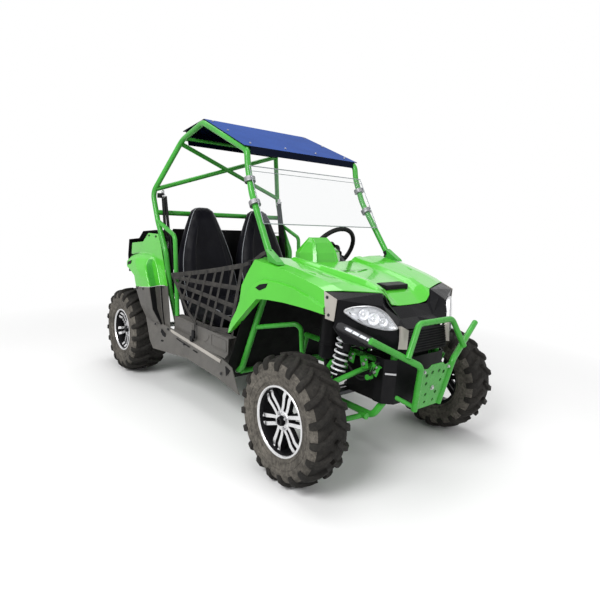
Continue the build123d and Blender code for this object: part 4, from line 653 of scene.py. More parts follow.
# where a lug runs: station from the crown to the sidewall, turn in degrees, share of its height, width in mm
LUG_RUN = (
    (0.12, 0.0, 1.0, 17), (0.55, 3.4, 1.0, 18), (1.0, 6.4, 1.0, 19), (1.5, 8.8, 0.98, 21),
    (2.0, 10.4, 0.92, 24), (2.55, 11.2, 0.78, 26), (3.1, 11.6, 0.46, 25), (3.6, 11.9, 0.2, 22),
)


def wheels(part):
    """Each wheel's name for a part, the node it stands for, its body, centre, direction out and sizes."""
    for axle, line, across, sizes in (("front", FRONT_AXLE, FRONT_TYRE_Y, FRONT_WHEEL),
                                      ("rear", REAR_AXLE, REAR_TYRE_Y, REAR_WHEEL)):
        for side, sign in (("right", -1), ("left", 1)):
            name = f"{axle}_{part}_{side}"
            node, body = ((name, f"front_wheel_{side}") if axle == "front"
                          else (f"rear_{part}s", "rear_wheels"))
            yield name, node, body, line + Vector((0, sign * across, 0)), Vector((0, sign, 0)), sizes


def tyre_section(half, bead, lip, crown):
    """Half of a tyre's outline from its crown to its bead: distance from the middle, and radius."""
    return [Vector(spot) * MM for spot in (
        (0, crown, 0), (half * 0.42, crown - 2, 0), (half * 0.80, crown - 10, 0),
        (half * 0.97, crown - 30, 0), (half, (lip + crown) / 2 + 2, 0), (half * 0.93, lip + 24, 0),
        (bead + 5, lip + 8, 0), (bead, lip - 3, 0),
    )]


def on_section(section, station):
    """A point on a section, and the direction out of it."""
    line = curve_through(section, 20)
    index = min(int(station * 20), len(line) - 2)
    run = line[index + 1] - line[index]
    return line[index], Vector((-run.y, run.x, 0)).normalized()


def lug_rings(profile, centre, out, start, height):
    """The outlines along one lug, on the side that a direction points to."""
    spots = []
    for spot, rise, (_, turn, tall, width) in profile:
        away = radial(start - radians(turn))
        spots.append((centre + out * spot.x + away * spot.y, out * rise.x + away * rise.y, tall, width))
    rings = []
    for index, (spot, lift, tall, width) in enumerate(spots):
        run = spots[min(index + 1, len(spots) - 1)][0] - spots[max(index - 1, 0)][0]
        wide = lift.cross(run).normalized() * width * MM / 2
        high = lift * height * tall
        rings.append([spot - lift * 0.004 - wide * 1.3, spot + high * 0.88 - wide * 1.05,
                      spot + high - wide * 0.86, spot + high + wide * 0.86,
                      spot + high * 0.88 + wide * 1.05, spot - lift * 0.004 + wide * 1.3])
    return rings


class UTV_OT_tyres(bpy.types.Operator):
    """Knobby tyres: a round carcass with hooked lugs that run down the sidewalls"""
    bl_idname = "utv.tyres"
    bl_label = "Tyres"

    def execute(self, context):
        sizes = context.scene.utv_tyre
        crown = TYRE_RADIUS / MM - sizes.lug_height / MM
        for name, node, body, centre, out, (half, bead, lip, _) in wheels("tyre"):
            section = tyre_section(half, bead, lip, crown)
            outer = [(spot.x, spot.y) for spot in curve_through(section, 4)]
            inner = in_mm((bead - 14, lip - 4))
            closed = [(-x, y) for x, y in inner + outer[::-1]] + outer[1:] + inner
            shape = Shape()
            shape.lathe(closed + closed[:1], centre, out, 96)
            for station, size in ((4.35, 1.5), (5.25, 2.2)):
                spot, rise = on_section(section, station)
                for face in (-1, 1):
                    shape.tube([centre + out * face * (spot.x + rise.x * 0.0004) + radial(turn) * spot.y
                                for turn in turns(90)], size * MM, 6, loop=True)
            carcass = make(shape, f"{name}_carcass", "tyre", replaces=(node,), body=body).data
            # the tread band takes the near-black lug rubber: painted shade on the tread, beside the lighter
            # dusty sidewalls
            carcass.materials.append(finishes()["lug"])
            for polygon in carcass.polygons:
                reach = polygon.center - centre
                height = Vector((reach.x, reach.z)).length
                if abs(reach.y) < half * TREAD_SHARE * MM and height > (crown - TREAD_DEPTH) * MM:
                    polygon.material_index = 1
            lugs = Shape()
            profile = [(*on_section(section, run[0]), run) for run in LUG_RUN]
            for face in (-1, 1):
                for number in range(sizes.lugs):
                    start = 2 * pi * (number + (0.5 if face > 0 else 0)) / sizes.lugs
                    lugs.rows(lug_rings(profile, centre, out * face, start, sizes.lug_height), ring=True,
                              caps=True)
            make(lugs, f"{name}_lugs", "lug", body=body, sharp=50)
        return {"FINISHED"}


class UTV_OT_rims(bpy.types.Operator):
    """Cast wheels with pairs of machined spokes over dark pockets"""
    bl_idname = "utv.rims"
    bl_label = "Rims"

    def execute(self, context):
        sizes = context.scene.utv_rim
        for name, node, body, centre, out, (_, bead, lip, disc) in wheels("rim"):
            dark, bright, cap, nuts = Shape(), Shape(), Shape(), Shape()
            hub = disc + 14
            for profile, steps, closed in (
                (((bead + 2, lip + 5), (bead + 4, lip), (bead + 2, lip - 5), (bead - 10, lip - 11),
                  (disc + 8, lip - 15), (-bead + 12, lip - 17), (-bead, lip - 6), (-bead - 2, lip + 4),
                  (-bead + 8, lip - 2), (-20, lip - 12), (20, lip - 12), (bead - 8, lip - 2),
                  (bead + 2, lip + 5)), 72, False),
                (((disc - 22, 46), (hub - 6, 46), (hub, 40), (hub, 22)), 40, True),
            ):
                dark.lathe(in_mm(*profile), centre, out, steps, caps=closed)
            bright.lathe(in_mm((bead + 2, lip + 4.6), (bead + 5, lip + 1), (bead + 4.4, lip - 5),
                               (bead - 1, lip - 8.4), (bead, lip - 4)), centre, out, 72)
            bright.lathe(in_mm((hub, 44), (hub + 1.6, 42), (hub + 1.6, 23), (hub, 22)), centre, out, 48)
            reach = ((34, hub - 1), (58, hub - 3), (84, disc + 13), (108, disc + 16), (lip - 16, bead - 20),
                     (lip - 9, bead - 12))
            for pair in range(sizes.pairs):
                turn = 2 * pi * pair / sizes.pairs + 0.3
                beside = Vector((-sin(turn), 0, cos(turn)))
                for edge in (-1, 1):
                    body_rows, face_rows = [], []
                    for step, (radius, depth) in enumerate(reach):
                        spot = (centre + radial(turn) * radius * MM + out * depth * MM
                                + beside * edge * lerp(13.5, 20.5, step / 5) * MM)
                        wide = beside * sizes.spoke_width * lerp(0.42, 0.56, step / 5)
                        deep = out * sizes.spoke_depth
                        body_rows.append([spot - wide, spot + wide, spot + wide * 1.35 - deep,
                                          spot - wide * 1.35 - deep])
                        face_rows.append([spot - wide * 0.9 - out * 0.001, spot + wide * 0.9 - out * 0.001,
                                          spot + wide * 0.82 + out * 0.0012,
                                          spot - wide * 0.82 + out * 0.0012])
                    dark.rows(body_rows, ring=True, caps=True)
                    bright.rows(face_rows, ring=True, caps=True)
            cap.lathe(in_mm((disc, 21), (hub + 12, 20), (hub + 17, 17), (hub + 17, 9), (hub + 12, 8)), centre,
                      out, 28, caps=True)
            for nut in range(4):
                nuts.hexagon(centre + radial(pi / 2 * nut + 0.6) * 0.0325 + out * (hub + 1) * MM, out,
                             0.0062, 0.010)
            make(dark, f"{name}_casting", "satin", replaces=(node,), body=body, sharp=35)
            make(bright, f"{name}_machined",
                 turned_metal("machined_" + name.replace("rim_", ""), MACHINED_TINT, centre),
                 body=body, sharp=35)
            make(cap, f"{name}_cap", "black", body=body, sharp=35)
            make(nuts, f"{name}_nuts", "steel", body=body, sharp=30)
        return {"FINISHED"}


class UTV_OT_shocks(bpy.types.Operator):
    """Coil-over shocks with white springs, and reservoirs at the front"""
    bl_idname = "utv.shocks"
    bl_label = "Shocks"

    def execute(self, context):
        coils = 9
        for name, foot, head, low, high, radius in (
            ("front", front(0, 312, 12), front(0, 240, 410), 0.36, 0.90, 31),
            ("rear", rear(22, 110, 77), rear(70, 110, 396), 0.20, 0.85, 27),
        ):
            coil, damper = Shape(), Shape()
            axis = head - foot
            run = axis.normalized()
            across = run.orthogonal().normalized()
            beside = run.cross(across)
            steps = coils * 22
            path = []
            for step in range(steps + 1):
                share = step / steps
                settled = share * share * (3 - 2 * share) * 0.25 + share * 0.75
                turn = 2 * pi * coils * share
                path.append(foot + axis * lerp(low, high, settled)
                            + (across * cos(turn) + beside * sin(turn)) * radius * MM)
            coil.tube(path, 0.0048, 8)
            make(coil, f"{name}_coil_springs", "white", mirrored=True)
            for profile in (
                ((0.02, 17), (low - 0.05, 17), (low - 0.02, 21), (low, 22), (low + 0.012, 36),
                 (low + 0.03, 36), (low + 0.03, 24), (high - 0.25, 24), (high - 0.25, 8), (high, 8)),
                ((high - 0.004, 34), (high + 0.018, 34), (high + 0.03, 24), (0.985, 17)),
            ):
                damper.lathe([(along * axis.length, size * MM) for along, size in profile], foot, run, 28,
                             caps=True)
            for end in (foot, head):
                damper.lathe(in_mm((-14, 16), (14, 16)), end, (1, 0, 0), 24, caps=True)
            make(damper, f"{name}_damper_bodies", "satin", mirrored=True,
                 replaces=(f"{name}_shocks",), sharp=35)
            if name == "front":
                can = Shape()
                bottom = (head - run * 0.15 + Vector((0.035, 0, 0))
                          + run.cross(Vector((1, 0, 0))).normalized() * 0.04 * 0.3)
                can.lathe(in_mm((0, 12), (6, 18), (100, 18), (106, 12)), bottom, run, 24, caps=True)
                can.tube([bottom + run * 0.104, bottom + run * 0.125 - Vector((0.015, 0, 0)),
                          head - run * 0.01],
                         0.005, 10)
                make(can, "front_shock_reservoirs", "satin", mirrored=True, sharp=35)
        return {"FINISHED"}


# ---- hood and front fenders ---------------------------------------------------------------


def seam(ahead):
    """The line between hood and fender at a distance ahead of the front axle."""
    share = (ahead + 415) / 535
    return front(ahead, lerp(262, 172, share), lerp(628, 538, share))


# hood stations: ahead, then (across, up) from the centre line outward
HOOD_STATIONS = (
    (-415, ((0, 606), (120, 607), (172, 612), (198, 631), (240, 636))),
    (-230, ((0, 588), (104, 590), (146, 594), (171, 612), (212, 616))),
    (-60, ((0, 566), (92, 567), (122, 571), (144, 588), (182, 593))),
    (22, ((0, 552), (84, 553), (108, 558), (126, 575), (167, 578))),
    (84, ((0, 520), (80, 521), (98, 526), (122, 547), (158, 556))),
    (142, ((0, 477), (72, 478), (88, 480), (126, 486), (146, 512))),
)


class UTV_OT_hood(bpy.types.Operator):
    """Hood with two raised ridges running down to the nose, a sunk middle and an air scoop"""
    bl_idname = "utv.hood"
    bl_label = "Hood"

    def execute(self, context):
        panel = context.scene.utv_panel
        shape = Shape()
        rows = []
        for ahead, spots in HOOD_STATIONS:
            last = seam(min(ahead, 120)) + Vector((0, -0.0022, 0))
            rows.append([front(ahead, *spot) for spot in spots] + [last, last + Vector((0, 0.001, -0.012))])
        shape.rows(rows)
        back = [spot + Vector((-0.004, 0, -0.022)) for spot in rows[0][:-1]]
        shape.rows([back, rows[0][:-1]])
        make(shape, "hood_panel", "green", replaces=("hood",), outward=(0, 0, 1),
             mirrored=True, thickness=panel.thickness, fold=panel.fold * 0.6)
        vee = Shape()
        for sign in (1, -1):
            vee.rows([[front(-196, sign * 8, 588.5), front(-206, sign * 8, 588.8)],
                      [front(-214, sign * 96, 589.4), front(-226, sign * 96, 590.6)]])
        make(vee, "hood_crease", "green", outward=(0, 0, 1), thickness=-0.0022, edge=0.0006)
        scoop = Shape()
        sides = [[front(ahead, side * across, up)
                  for ahead, across, up in ((66, 78, 533), (66, 78, 556), (8, 84, 561), (8, 84, 552))]
                 for side in (1, -1)]
        scoop.rows(sides, ring=True)
        for side in sides:
            scoop.put(side, [(0, 1, 2, 3)])
        make(scoop, "hood_scoop_cover", "satin", edge=0.005)
        slats = Shape()
        for level in (540, 548):
            slats.block(front(67, 0, level), (0.004, 0.142, 0.0022))
        make(slats, "hood_scoop_slats", "grain")
        return {"FINISHED"}


# fender side: arch edge, top of the flare, top of the side, each (ahead, up)
FENDER_ROWS = (
    ((-589, 230), (-587, 240), (-585, 250)), ((-563, 246), (-572, 262), (-578, 274)),
    ((-540, 270), (-556, 290), (-567, 302)), ((-492, 318), (-520, 340), (-535, 352)),
    ((-432, 382), (-484, 404), (-511, 410)), ((-372, 443), (-440, 472), (-500, 490)),
    ((-335, 449), (-392, 516), (-458, 562)), ((-290, 453), (-340, 538), (-415, 625)),
    ((-200, 457), (-250, 541), (-330, 615)), ((-102, 455), (-146, 530), (-215, 600)),
    ((-30, 452), (-56, 504), (-90, 574)), ((8, 449), (-6, 484), (-20, 557)),
    ((38, 447), (34, 474), (18, 543)),
)


def wall(ahead, up, out=0):
    """A point on the fender's side, which runs inboard towards the nose."""
    return front(ahead, SIDE - 0.135 * (ahead + 589) + out, up)


class UTV_OT_front_fenders(bpy.types.Operator):
    """Front fenders with a raised flare over the wheel and a folded top"""
    bl_idname = "utv.front_fenders"
    bl_label = "Front fenders"

    def execute(self, context):
        panel = context.scene.utv_panel
        shape = Shape()
        rows = []
        for index, (arch, flare, top) in enumerate(FENDER_ROWS):
            proud = min(1.0, index / 3) * 17 + 1
            step = Vector((top[0] - flare[0], top[1] - flare[1], 0)).normalized() * min(7, 3 + index * 2)
            rows.append([wall(*arch, -16), wall(*arch, proud), wall(*flare, proud - 1),
                         wall(flare[0] + step.x, flare[1] + step.y, 1.5), wall(*top)])
        shape.rows(rows)
        crown = []
        for ahead, up in (row[2] for row in FENDER_ROWS[7:]):
            edge = wall(ahead, up)
            line = seam(ahead) + Vector((0, 0.0022, 0))
            rise = Vector((0, 0, 0.010))
            crown.append([edge, lerp(edge, line, 0.30) + rise, lerp(edge, line, 0.72) + rise * 0.7, line,
                          line + Vector((0, -0.001, -0.012))])
        tip = seam(118) + Vector((0, 0.0022, 0))
        ends = crown[-1]
        crown.append([ends[0], lerp(ends[0], tip, 0.34) + Vector((0, 0, 0.004)),
                      lerp(ends[0], tip, 0.74) + Vector((0, 0, 0.002)), tip,
                      tip + Vector((0, -0.001, -0.012))])
        shape.rows(crown)
        cab = crown[0][:-1]
        shape.rows([cab, [spot + Vector((-0.003, 0, -0.03)) for spot in cab]])
        make(shape, "front_fender_shells", "green", replaces=("front_fenders",),
             outward=(0, 0.7, 0.7), mirrored=True, thickness=panel.thickness, fold=panel.fold)
        slot = Shape()
        outline = [(-380, 497), (-352, 517), (-300, 529), (-310, 507), (-352, 488)]
        slot.prism([wall(*spot, 12) for spot in outline], (0, 0.0072, 0))
        make(slot, "front_fender_slots", "satin", mirrored=True)
        dart = Shape()
        base = [front(*spot) + Vector((0, 0, 0.0045))
                for spot in ((-262, 388, 605), (-90, 330, 583), (-150, 356, 592))]
        dart.put([*base, sum(base, Vector()) / 3 + Vector((0, 0, 0.004))], [(0, 1, 3), (1, 2, 3), (2, 0, 3)])
        make(dart, "front_fender_creases", "green", mirrored=True, outward=(0, 0, 1),
             thickness=0.003, fold=0.004)
        return {"FINISHED"}


# ---- nose ---------------------------------------------------------------------------------

# outline of the left headlight, and the direction it faces: ahead, across, up
LAMP = ((104, 378, 470), (128, 352, 489), (168, 284, 494), (202, 240, 474), (226, 203, 428), (231, 192, 404),
        (204, 224, 396), (160, 300, 412), (122, 356, 444))
LAMP_OUT = Vector((0.72, 0.5, 0.12)).normalized()


class UTV_OT_headlights(bpy.types.Operator):
    """Headlights: a bezel, a clear domed lens and bright bowls behind it"""
    bl_idname = "utv.headlights"
    bl_label = "Headlights"

    def execute(self, context):
        corners = [front(*spot) for spot in LAMP]
        heart = sum(corners, Vector()) / len(corners)
        long = (corners[5] - corners[0]).normalized()
        normal = (LAMP_OUT - long * LAMP_OUT.dot(long)).normalized()
        tall = normal.cross(long)
        flat = [spot - normal * (spot - heart).dot(normal) for spot in corners]
        outline = loop_through(flat, 7)

        def ring(share, out):
            return [lerp(heart, spot, share) + normal * out * MM for spot in outline]

        bezel = Shape()
        bezel.rows([ring(0.99, -14), ring(1.04, 0), ring(1.035, 5), ring(0.985, 7), ring(0.93, 4),
                    ring(0.90, -10)],
                   ring=True)
        make(bezel, "headlight_bezels", "steel", mirrored=True, sharp=60)
        lens = Shape()
        lens.rows([ring(0.955, 3), ring(0.88, 8), ring(0.7, 11), ring(0.4, 13), ring(0.12, 13.5)], ring=True)
        lens.put(ring(0.12, 13.5), [tuple(range(len(outline)))])
        make(lens, "headlight_lenses", "lens", replaces=("headlights",), mirrored=True,
             outward=tuple(normal), sharp=70)
        back = Shape()
        back.rows([ring(0.93, 2), ring(0.8, -9), ring(0.05, -11)], ring=True)
        back.put(ring(0.05, -11), [tuple(range(len(outline)))])
        make(back, "headlight_reflectors", "silver", mirrored=True, outward=tuple(normal))
        bowls = Shape()
        for along, up, size in ((-38, -3, 23), (8, 2, 26), (52, 0, 20)):
            spot = heart + long * along * MM + tall * up * MM
            bowls.lathe([(-0.004, size * MM), (0.001, size * MM), (-0.004, size * 0.88 * MM),
                         (-0.010, size * 0.55 * MM), (-0.011, size * 0.3 * MM), (-0.003, size * 0.26 * MM),
                         (-0.001, 0.002)], spot, normal, 32)
        make(bowls, "headlight_bowls", "chrome", mirrored=True, sharp=60)
        return {"FINISHED"}


class UTV_OT_lit_strips(bpy.types.Operator):
    """Rounded housings under the headlights with a lit strip in each"""
    bl_idname = "utv.lit_strips"
    bl_label = "Lit strips"

    def execute(self, context):
        start, end = front(92, 398, 412), front(190, 268, 338)
        run = (end - start).normalized()
        out = Vector((0.76, 0.6, 0.25))
        out = (out - run * out.dot(run)).normalized()
        up = run.cross(out)
        up = up if up.z > 0 else -up
        housing = Shape()
        rings = []
        for share, size in ((-0.05, 0.35), (-0.02, 0.8), (0.06, 1), (0.5, 1), (0.93, 0.95), (1.0, 0.75),
                            (1.03, 0.35)):
            spot = lerp(start, end, share) - out * 0.012
            rings.append([spot + (out * cos(turn) * 0.021 + up * sin(turn) * 0.025) * size
                          for turn in turns(20)])
        housing.rows(rings, ring=True, caps=True)
        make(housing, "strip_housings", "capsule", mirrored=True)
        tray, lamps = Shape(), Shape()
        outline = [(0.14, 0.2), (0.2, 0.72), (0.9, 0.55), (0.98, 0), (0.93, -0.45), (0.24, -0.62)]

        def strip(points, out_by):
            return [lerp(start, end, along) + up * level * 0.013 + out * out_by for along, level in points]

        tray.rows([strip(outline, 0.004), strip(outline, 0.0115)], ring=True, caps=True)
        make(tray, "strip_trays", "cast", mirrored=True, edge=0.001)
        for lamp in range(4):
            left, right = 0.2 + lamp * 0.19, 0.36 + lamp * 0.19
            box = [(left, 0.45), (right, 0.42), (right - 0.02, -0.36), (left - 0.02, -0.42)]
            lamps.rows([strip(box, 0.010), strip(box, 0.014)], ring=True, caps=True)
        make(lamps, "strip_lamps", "lit", replaces=("led_strips",), mirrored=True, edge=0.001)
        return {"FINISHED"}


class UTV_OT_nose_details(bpy.types.Operator):
    """Grille slats, corner-plate bolts, the shroud's bright bar and the skid plate's bolts"""
    bl_idname = "utv.nose_details"
    bl_label = "Nose details"

    def execute(self, context):
        slats = Shape()
        for level in range(9):
            up = 296 + level * 11.5
            half = lerp(150, 138, level / 8)
            slats.block(front(lerp(257, 247, level / 8), 0, up), (0.006, 2 * half * MM, 0.0045))
        for column in range(-4, 5):
            slats.rows([[front(254, column * 32 - 2, 290), front(254, column * 32 + 2, 290)],
                        [front(244, column * 30 - 2, 392), front(244, column * 30 + 2, 392)]])
        make(slats, "grille_slats", "satin", edge=0.001)
        bar = Shape()
        bar.prism([front(*spot) for spot in ((203, 202, 196), (237, 168, 196), (237, 168, 204),
                                             (203, 202, 204))],
                  (0.0024, 0.0024, 0))
        make(bar, "shroud_bars", "steel", mirrored=True)
        side_bolts("corner_plate_bolts", 0.0052, front(40, 420, 520), front(56, 421, 448))
        skid = Shape()
        tilt = atan2(34.0, 214.0)
        face = Vector((cos(tilt), 0, -sin(tilt)))
        rise = Vector((sin(tilt), 0, cos(tilt)))
        for across, up in ((0, -6), (-88, 84), (88, 84)):
            skid.hexagon(front(305, 0, 140) + Vector((0, across * MM, 0)) + rise * up * MM + face * 0.0035,
                         face, 0.0085 if across == 0 else 0.006, 0.008)
        make(skid, "skid_plate_bolts", "steel", sharp=30)
        return {"FINISHED"}


class UTV_OT_nose_inside(bpy.types.Operator):
    """Boxes, canisters and leads between the front rails, and the liners inside the front fenders"""
    bl_idname = "utv.nose_inside"
    bl_label = "Nose inside"

    def execute(self, context):
        box, cans, leads, liner = Shape(), Shape(), Shape(), Shape()
        for ahead, up, size in ((-6, 330, (0.30, 0.21, 0.16)), (-6, 416, (0.31, 0.22, 0.012)),
                                (30, 120, (0.20, 0.30, 0.17)), (160, 170, (0.05, 0.26, 0.19))):
            box.block(front(ahead, 0, up), size)
        make(box, "nose_boxes", "grain", edge=0.006)
        foot, run, radius = front(-118, 236, 190), front(-118, 236, 405) - front(-118, 236, 190), 0.046
        cans.lathe([(run.length * share + step, radius * wide) for share, step, wide in (
            (0, 0, 0.8), (0, 0.01, 1), (0.30, 0, 1), (0.31, 0, 1.06), (0.36, 0, 1.06), (0.37, 0, 1),
            (1, -0.01, 1), (1, 0, 0.8))], foot, run, 36, caps=True)
        cans.tube(bend(front, (-118, 236, 196), (-112, 232, 150), (-90, 190, 118), (-40, 120, 120)),
                  0.020, 16)
        make(cans, "nose_canisters", "satin", mirrored=True, sharp=35)
        for side in (-1, 1):
            leads.tube(bend(front, (40, side * 100, 300), (30, side * 150, 250), (10, side * 210, 262),
                            (-18, side * 300, 150), (-24, side * 404, 60)), 0.0045, 8)
            leads.tube(bend(front, (60, side * 100, 350), (120, side * 140, 330), (140, side * 210, 390),
                            (130, side * 280, 428)), 0.006, 8)
        make(leads, "nose_leads", "rubber")
        liner.rows([[front(ahead, 205, top), front(ahead, 205, 300)]
                    for ahead, top in ((-300, 572), (-170, 562), (-60, 546), (18, 536), (80, 516), (110, 500),
                                       (150, 430), (180, 392))])
        make(liner, "nose_liners", "grain", outward=(0, 1, 0), mirrored=True,
             thickness=0.003)
        return {"FINISHED"}


class UTV_OT_arm_brackets(bpy.types.Operator):
    """Bolted brackets at the roots of the front arms, with brake hoses"""
    bl_idname = "utv.arm_brackets"
    bl_label = "Arm brackets"

    def execute(self, context):
        plates, bolts, hoses = Shape(), Shape(), Shape()
        for ahead, up, lean, tall in ((34, 238, 0.2, 52), (112, 232, -0.3, 58), (176, 214, 0.35, 46)):
            turn = Matrix.Rotation(lean, 3, "Y")
            plates.block(front(ahead, 238, up), (0.040, 0.005, tall * MM), turn)
            plates.block(front(ahead, 228, up + 20), (0.044, 0.022, 0.005), turn)
            bolts.hexagon(front(ahead, 240, up - 8), (0, 1, 0), 0.0068, 0.010)
            bolts.hexagon(front(ahead + 10, 240, up + 14), (0, 1, 0), 0.0045, 0.007)
        plates.lathe([(0, 0.012), (0.03, 0.012)], front(150, 226, 176), (0, 1, 0), 24, caps=True)
        make(plates, "arm_bracket_plates", "frame", mirrored=True, edge=0.0012)
        make(bolts, "arm_bracket_bolts", "steel", mirrored=True, sharp=30)
        for shift in (0, 14):
            hoses.tube(bend(front, (190 - shift, 232, 252), (160 - shift, 246, 190 - shift),
                            (96, 250, 168 - shift), (30, 246, 196), (0, 236, 246)), 0.0042, 8)
        make(hoses, "arm_bracket_hoses", "rubber", mirrored=True)
        return {"FINISHED"}


# ---- roof, screen and cowl ----------------------------------------------------------------


class UTV_OT_roof_details(bpy.types.Operator):
    """Bolts and washers along the roof's edges"""
    bl_idname = "utv.roof_details"
    bl_label = "Roof details"

    def execute(self, context):
        bolts = Shape()
        front_edge, ridge, tail = front(-651, 0, 1171), rear(617, 0, 1345), rear(330, 0, 1302)
        for start, end, share, across in ((front_edge, ridge, 0.10, 340), (front_edge, ridge, 0.55, 345),
                                          (front_edge, ridge, 0.92, 340), (front_edge, ridge, 0.10, 110),
                                          (ridge, tail, 0.35, 330), (ridge, tail, 0.85, 120)):
            up = (start - end).cross(Vector((0, 1, 0))).normalized()
            up = up if up.z > 0 else -up
            bolts.hexagon(lerp(start, end, share) + Vector((0, across * MM, 0)) + up * 0.001, up,
                          0.0048, 0.006)
        make(bolts, "roof_bolts", "steel", mirrored=True, sharp=30)
        return {"FINISHED"}


class UTV_OT_screen_details(bpy.types.Operator):
    """Bright edges of the clear screen and the straps round the feet of the front pillars"""
    bl_idname = "utv.screen_details"
    bl_label = "Screen details"

    def execute(self, context):
        low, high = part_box("windshield")
        foot = Vector((high.x - 0.002, high.y, low.z + 0.002))
        head = Vector((low.x + 0.002, high.y - 0.010, high.z - 0.002))
        edges = Shape()
        across = Vector((0, -2 * high.y, 0))
        for start, end in ((foot, foot + across), (head, head + Vector((0, -2 * head.y, 0)))):
            edges.tube([start, end], 0.0026, 8)
        second = lerp(head, foot, 0.09)
        edges.tube([second, Vector((second.x, -second.y, second.z))], 0.0016, 8)
        make(edges, "screen_edges", "screen_edge", sharp=60)
        sides = Shape()
        sides.tube([foot, head], 0.0022, 8)
        make(sides, "screen_side_edges", "screen_edge", mirrored=True, sharp=60)
        straps = Shape()
        leg_foot, leg_head = front(-329, 427, 597), front(-577, 398, 935)
        run = (leg_head - leg_foot).normalized()
        for share in (0.155, 0.185):
            straps.lathe([(-0.006, 0.0168), (-0.006, 0.0182), (0.006, 0.0182), (0.006, 0.0168)],
                         lerp(leg_foot, leg_head, share), run, 28)
        make(straps, "pillar_straps", "belt", mirrored=True)
        return {"FINISHED"}


# cowl: height, then (ahead, across) from its middle panel to its flank
COWL_ROWS = (
    (602, ((-424, 0), (-424, 72), (-415, 80), (-432, 93), (-474, 148), (-508, 150))),
    (650, ((-438, 0), (-438, 63), (-429, 71), (-448, 84), (-482, 146), (-509, 150))),
    (702, ((-466, 0), (-466, 52), (-458, 59), (-476, 68), (-497, 88), (-509, 93))),
    (729, ((-496, 0), (-496, 47), (-492, 52), (-500, 57), (-505, 61), (-510, 63))),
)


class UTV_OT_cowl(bpy.types.Operator):
    """Faceted instrument cowl with a sunk middle panel between two ridges"""
    bl_idname = "utv.cowl"
    bl_label = "Cowl"

    def execute(self, context):
        shape = Shape()
        rows = [[front(ahead, across, up) for ahead, across in spots] for up, spots in COWL_ROWS]
        shape.rows(rows)
        top = rows[-1]
        shape.rows([top, [Vector((front(-510, 0, 0).x, spot.y, spot.z - 0.003)) for spot in top]])
        make(shape, "cowl_shell", "green", replaces=("instrument_cowl",),
             outward=(1, 0.5, 0.3), mirrored=True, thickness=0.0035, fold=0.004)
        return {"FINISHED"}


class UTV_OT_cab_details(bpy.types.Operator):
    """Cowl dial, dash switches, and the steering wheel's cover and grip bands"""
    bl_idname = "utv.cab_details"
    bl_label = "Cab details"

    def execute(self, context):
        axis = Vector((-0.866, 0, 0.5))
        dial_at = front(-508, 94, 672)
        dial, glass, switches, hub, seams = Shape(), Shape(), Shape(), Shape(), Shape()
        dial.lathe(in_mm((-12, 34), (8, 36), (10, 33), (6, 30)), dial_at, axis, 36)
        make(dial, "dial_ring", "satin")
        glass.lathe(in_mm((0, 31), (7, 30.5), (8.5, 20), (9, 1)), dial_at, axis, 36, caps=True)
        make(glass, "dial_face", "dial")
        for number in range(4):
            switches.block(front(-528, -60 - number * 42, 560), (0.02, 0.026, 0.036))
        make(switches, "dash_switches", "satin", edge=0.003)
        centre = front(-605, 205, 645)
        hub.lathe(in_mm((-30, 30), (-12, 47), (-4, 50), (4, 44), (7, 28), (7.5, 2)), centre + axis * -0.006,
                  axis, 40)
        make(hub, "steering_wheel_cover", "satin", body="steering_wheel", sharp=60)
        across = Vector((0, 1, 0))
        rise = axis.cross(across).normalized()
        for turn in (radians(degrees) for degrees in (20, 160, 200, 340, 90, 270)):
            seams.lathe(in_mm((-2, 12.8), (-2, 13.8), (2, 13.8), (2, 12.8)),
                        centre + (across * cos(turn) + rise * sin(turn)) * 0.152,
                        -across * sin(turn) + rise * cos(turn), 20)
        make(seams, "steering_wheel_grip_bands", "satin", body="steering_wheel")
        return {"FINISHED"}


# ---- seats, belts and nets ----------------------------------------------------------------

PAD_SIDES = 28                # points round a pad's rings
PAD_GRAIN = 0.0062            # size of a pad's even mesh, m
PUFF_FRAMES = 12              # how long a pad is filled with air
# seat back: height above the rear axle, front surface, back surface, half-width, bolster depth
BACK_RINGS = (
    (168, 548, 452, 172, 0), (205, 566, 424, 186, 12), (260, 574, 372, 194, 20), (330, 556, 330, 197, 26),
    (420, 512, 316, 196, 28), (520, 476, 306, 186, 26), (600, 446, 300, 166, 20), (670, 424, 295, 142, 12),
    (735, 402, 292, 116, 5), (790, 386, 290, 92, 0), (826, 372, 292, 72, 0), (846, 352, 306, 40, 0),
)
# seat cushion: distance ahead of the rear axle, top, bottom, half-width, bolster depth
BASE_RINGS = (
    (470, 286, 176, 176, 0), (500, 300, 168, 188, 14), (560, 306, 164, 194, 20), (660, 302, 163, 196, 20),
    (760, 304, 163, 196, 18), (840, 308, 164, 194, 12), (890, 300, 170, 188, 6), (914, 272, 190, 176, 0),
)


def pillow(rings):
    """A closed padded form from rings, each a function that gives the point at a turn."""
    shape = Shape()
    shape.rows([[ring(turn) for turn in turns(PAD_SIDES)] for ring in rings], ring=True, caps=True)
    return shape


def squared(value, power):
    """A sine or cosine pushed towards its ends, for a softly squared outline."""
    return abs(value) ** power * (1 if value > 0 else -1)


def sink(bolster, face, across, width):
    """How far the middle of a pad's front lies below its bolsters, mm."""
    return bolster * max(0.0, 1 - (abs(across) / width) ** 4) if face > 0 else 0


def back_ring(side, up, ahead, behind, half, bolster):
    """A level ring round the seat back."""
    def spot(turn):
        face, across = squared(cos(turn), 0.62), squared(sin(turn), 0.62)
        return rear((ahead + behind) / 2 + face * (ahead - behind) / 2 - sink(bolster, face, across, 0.62),
                    side * SEAT_ACROSS + across * half, up)
    return spot


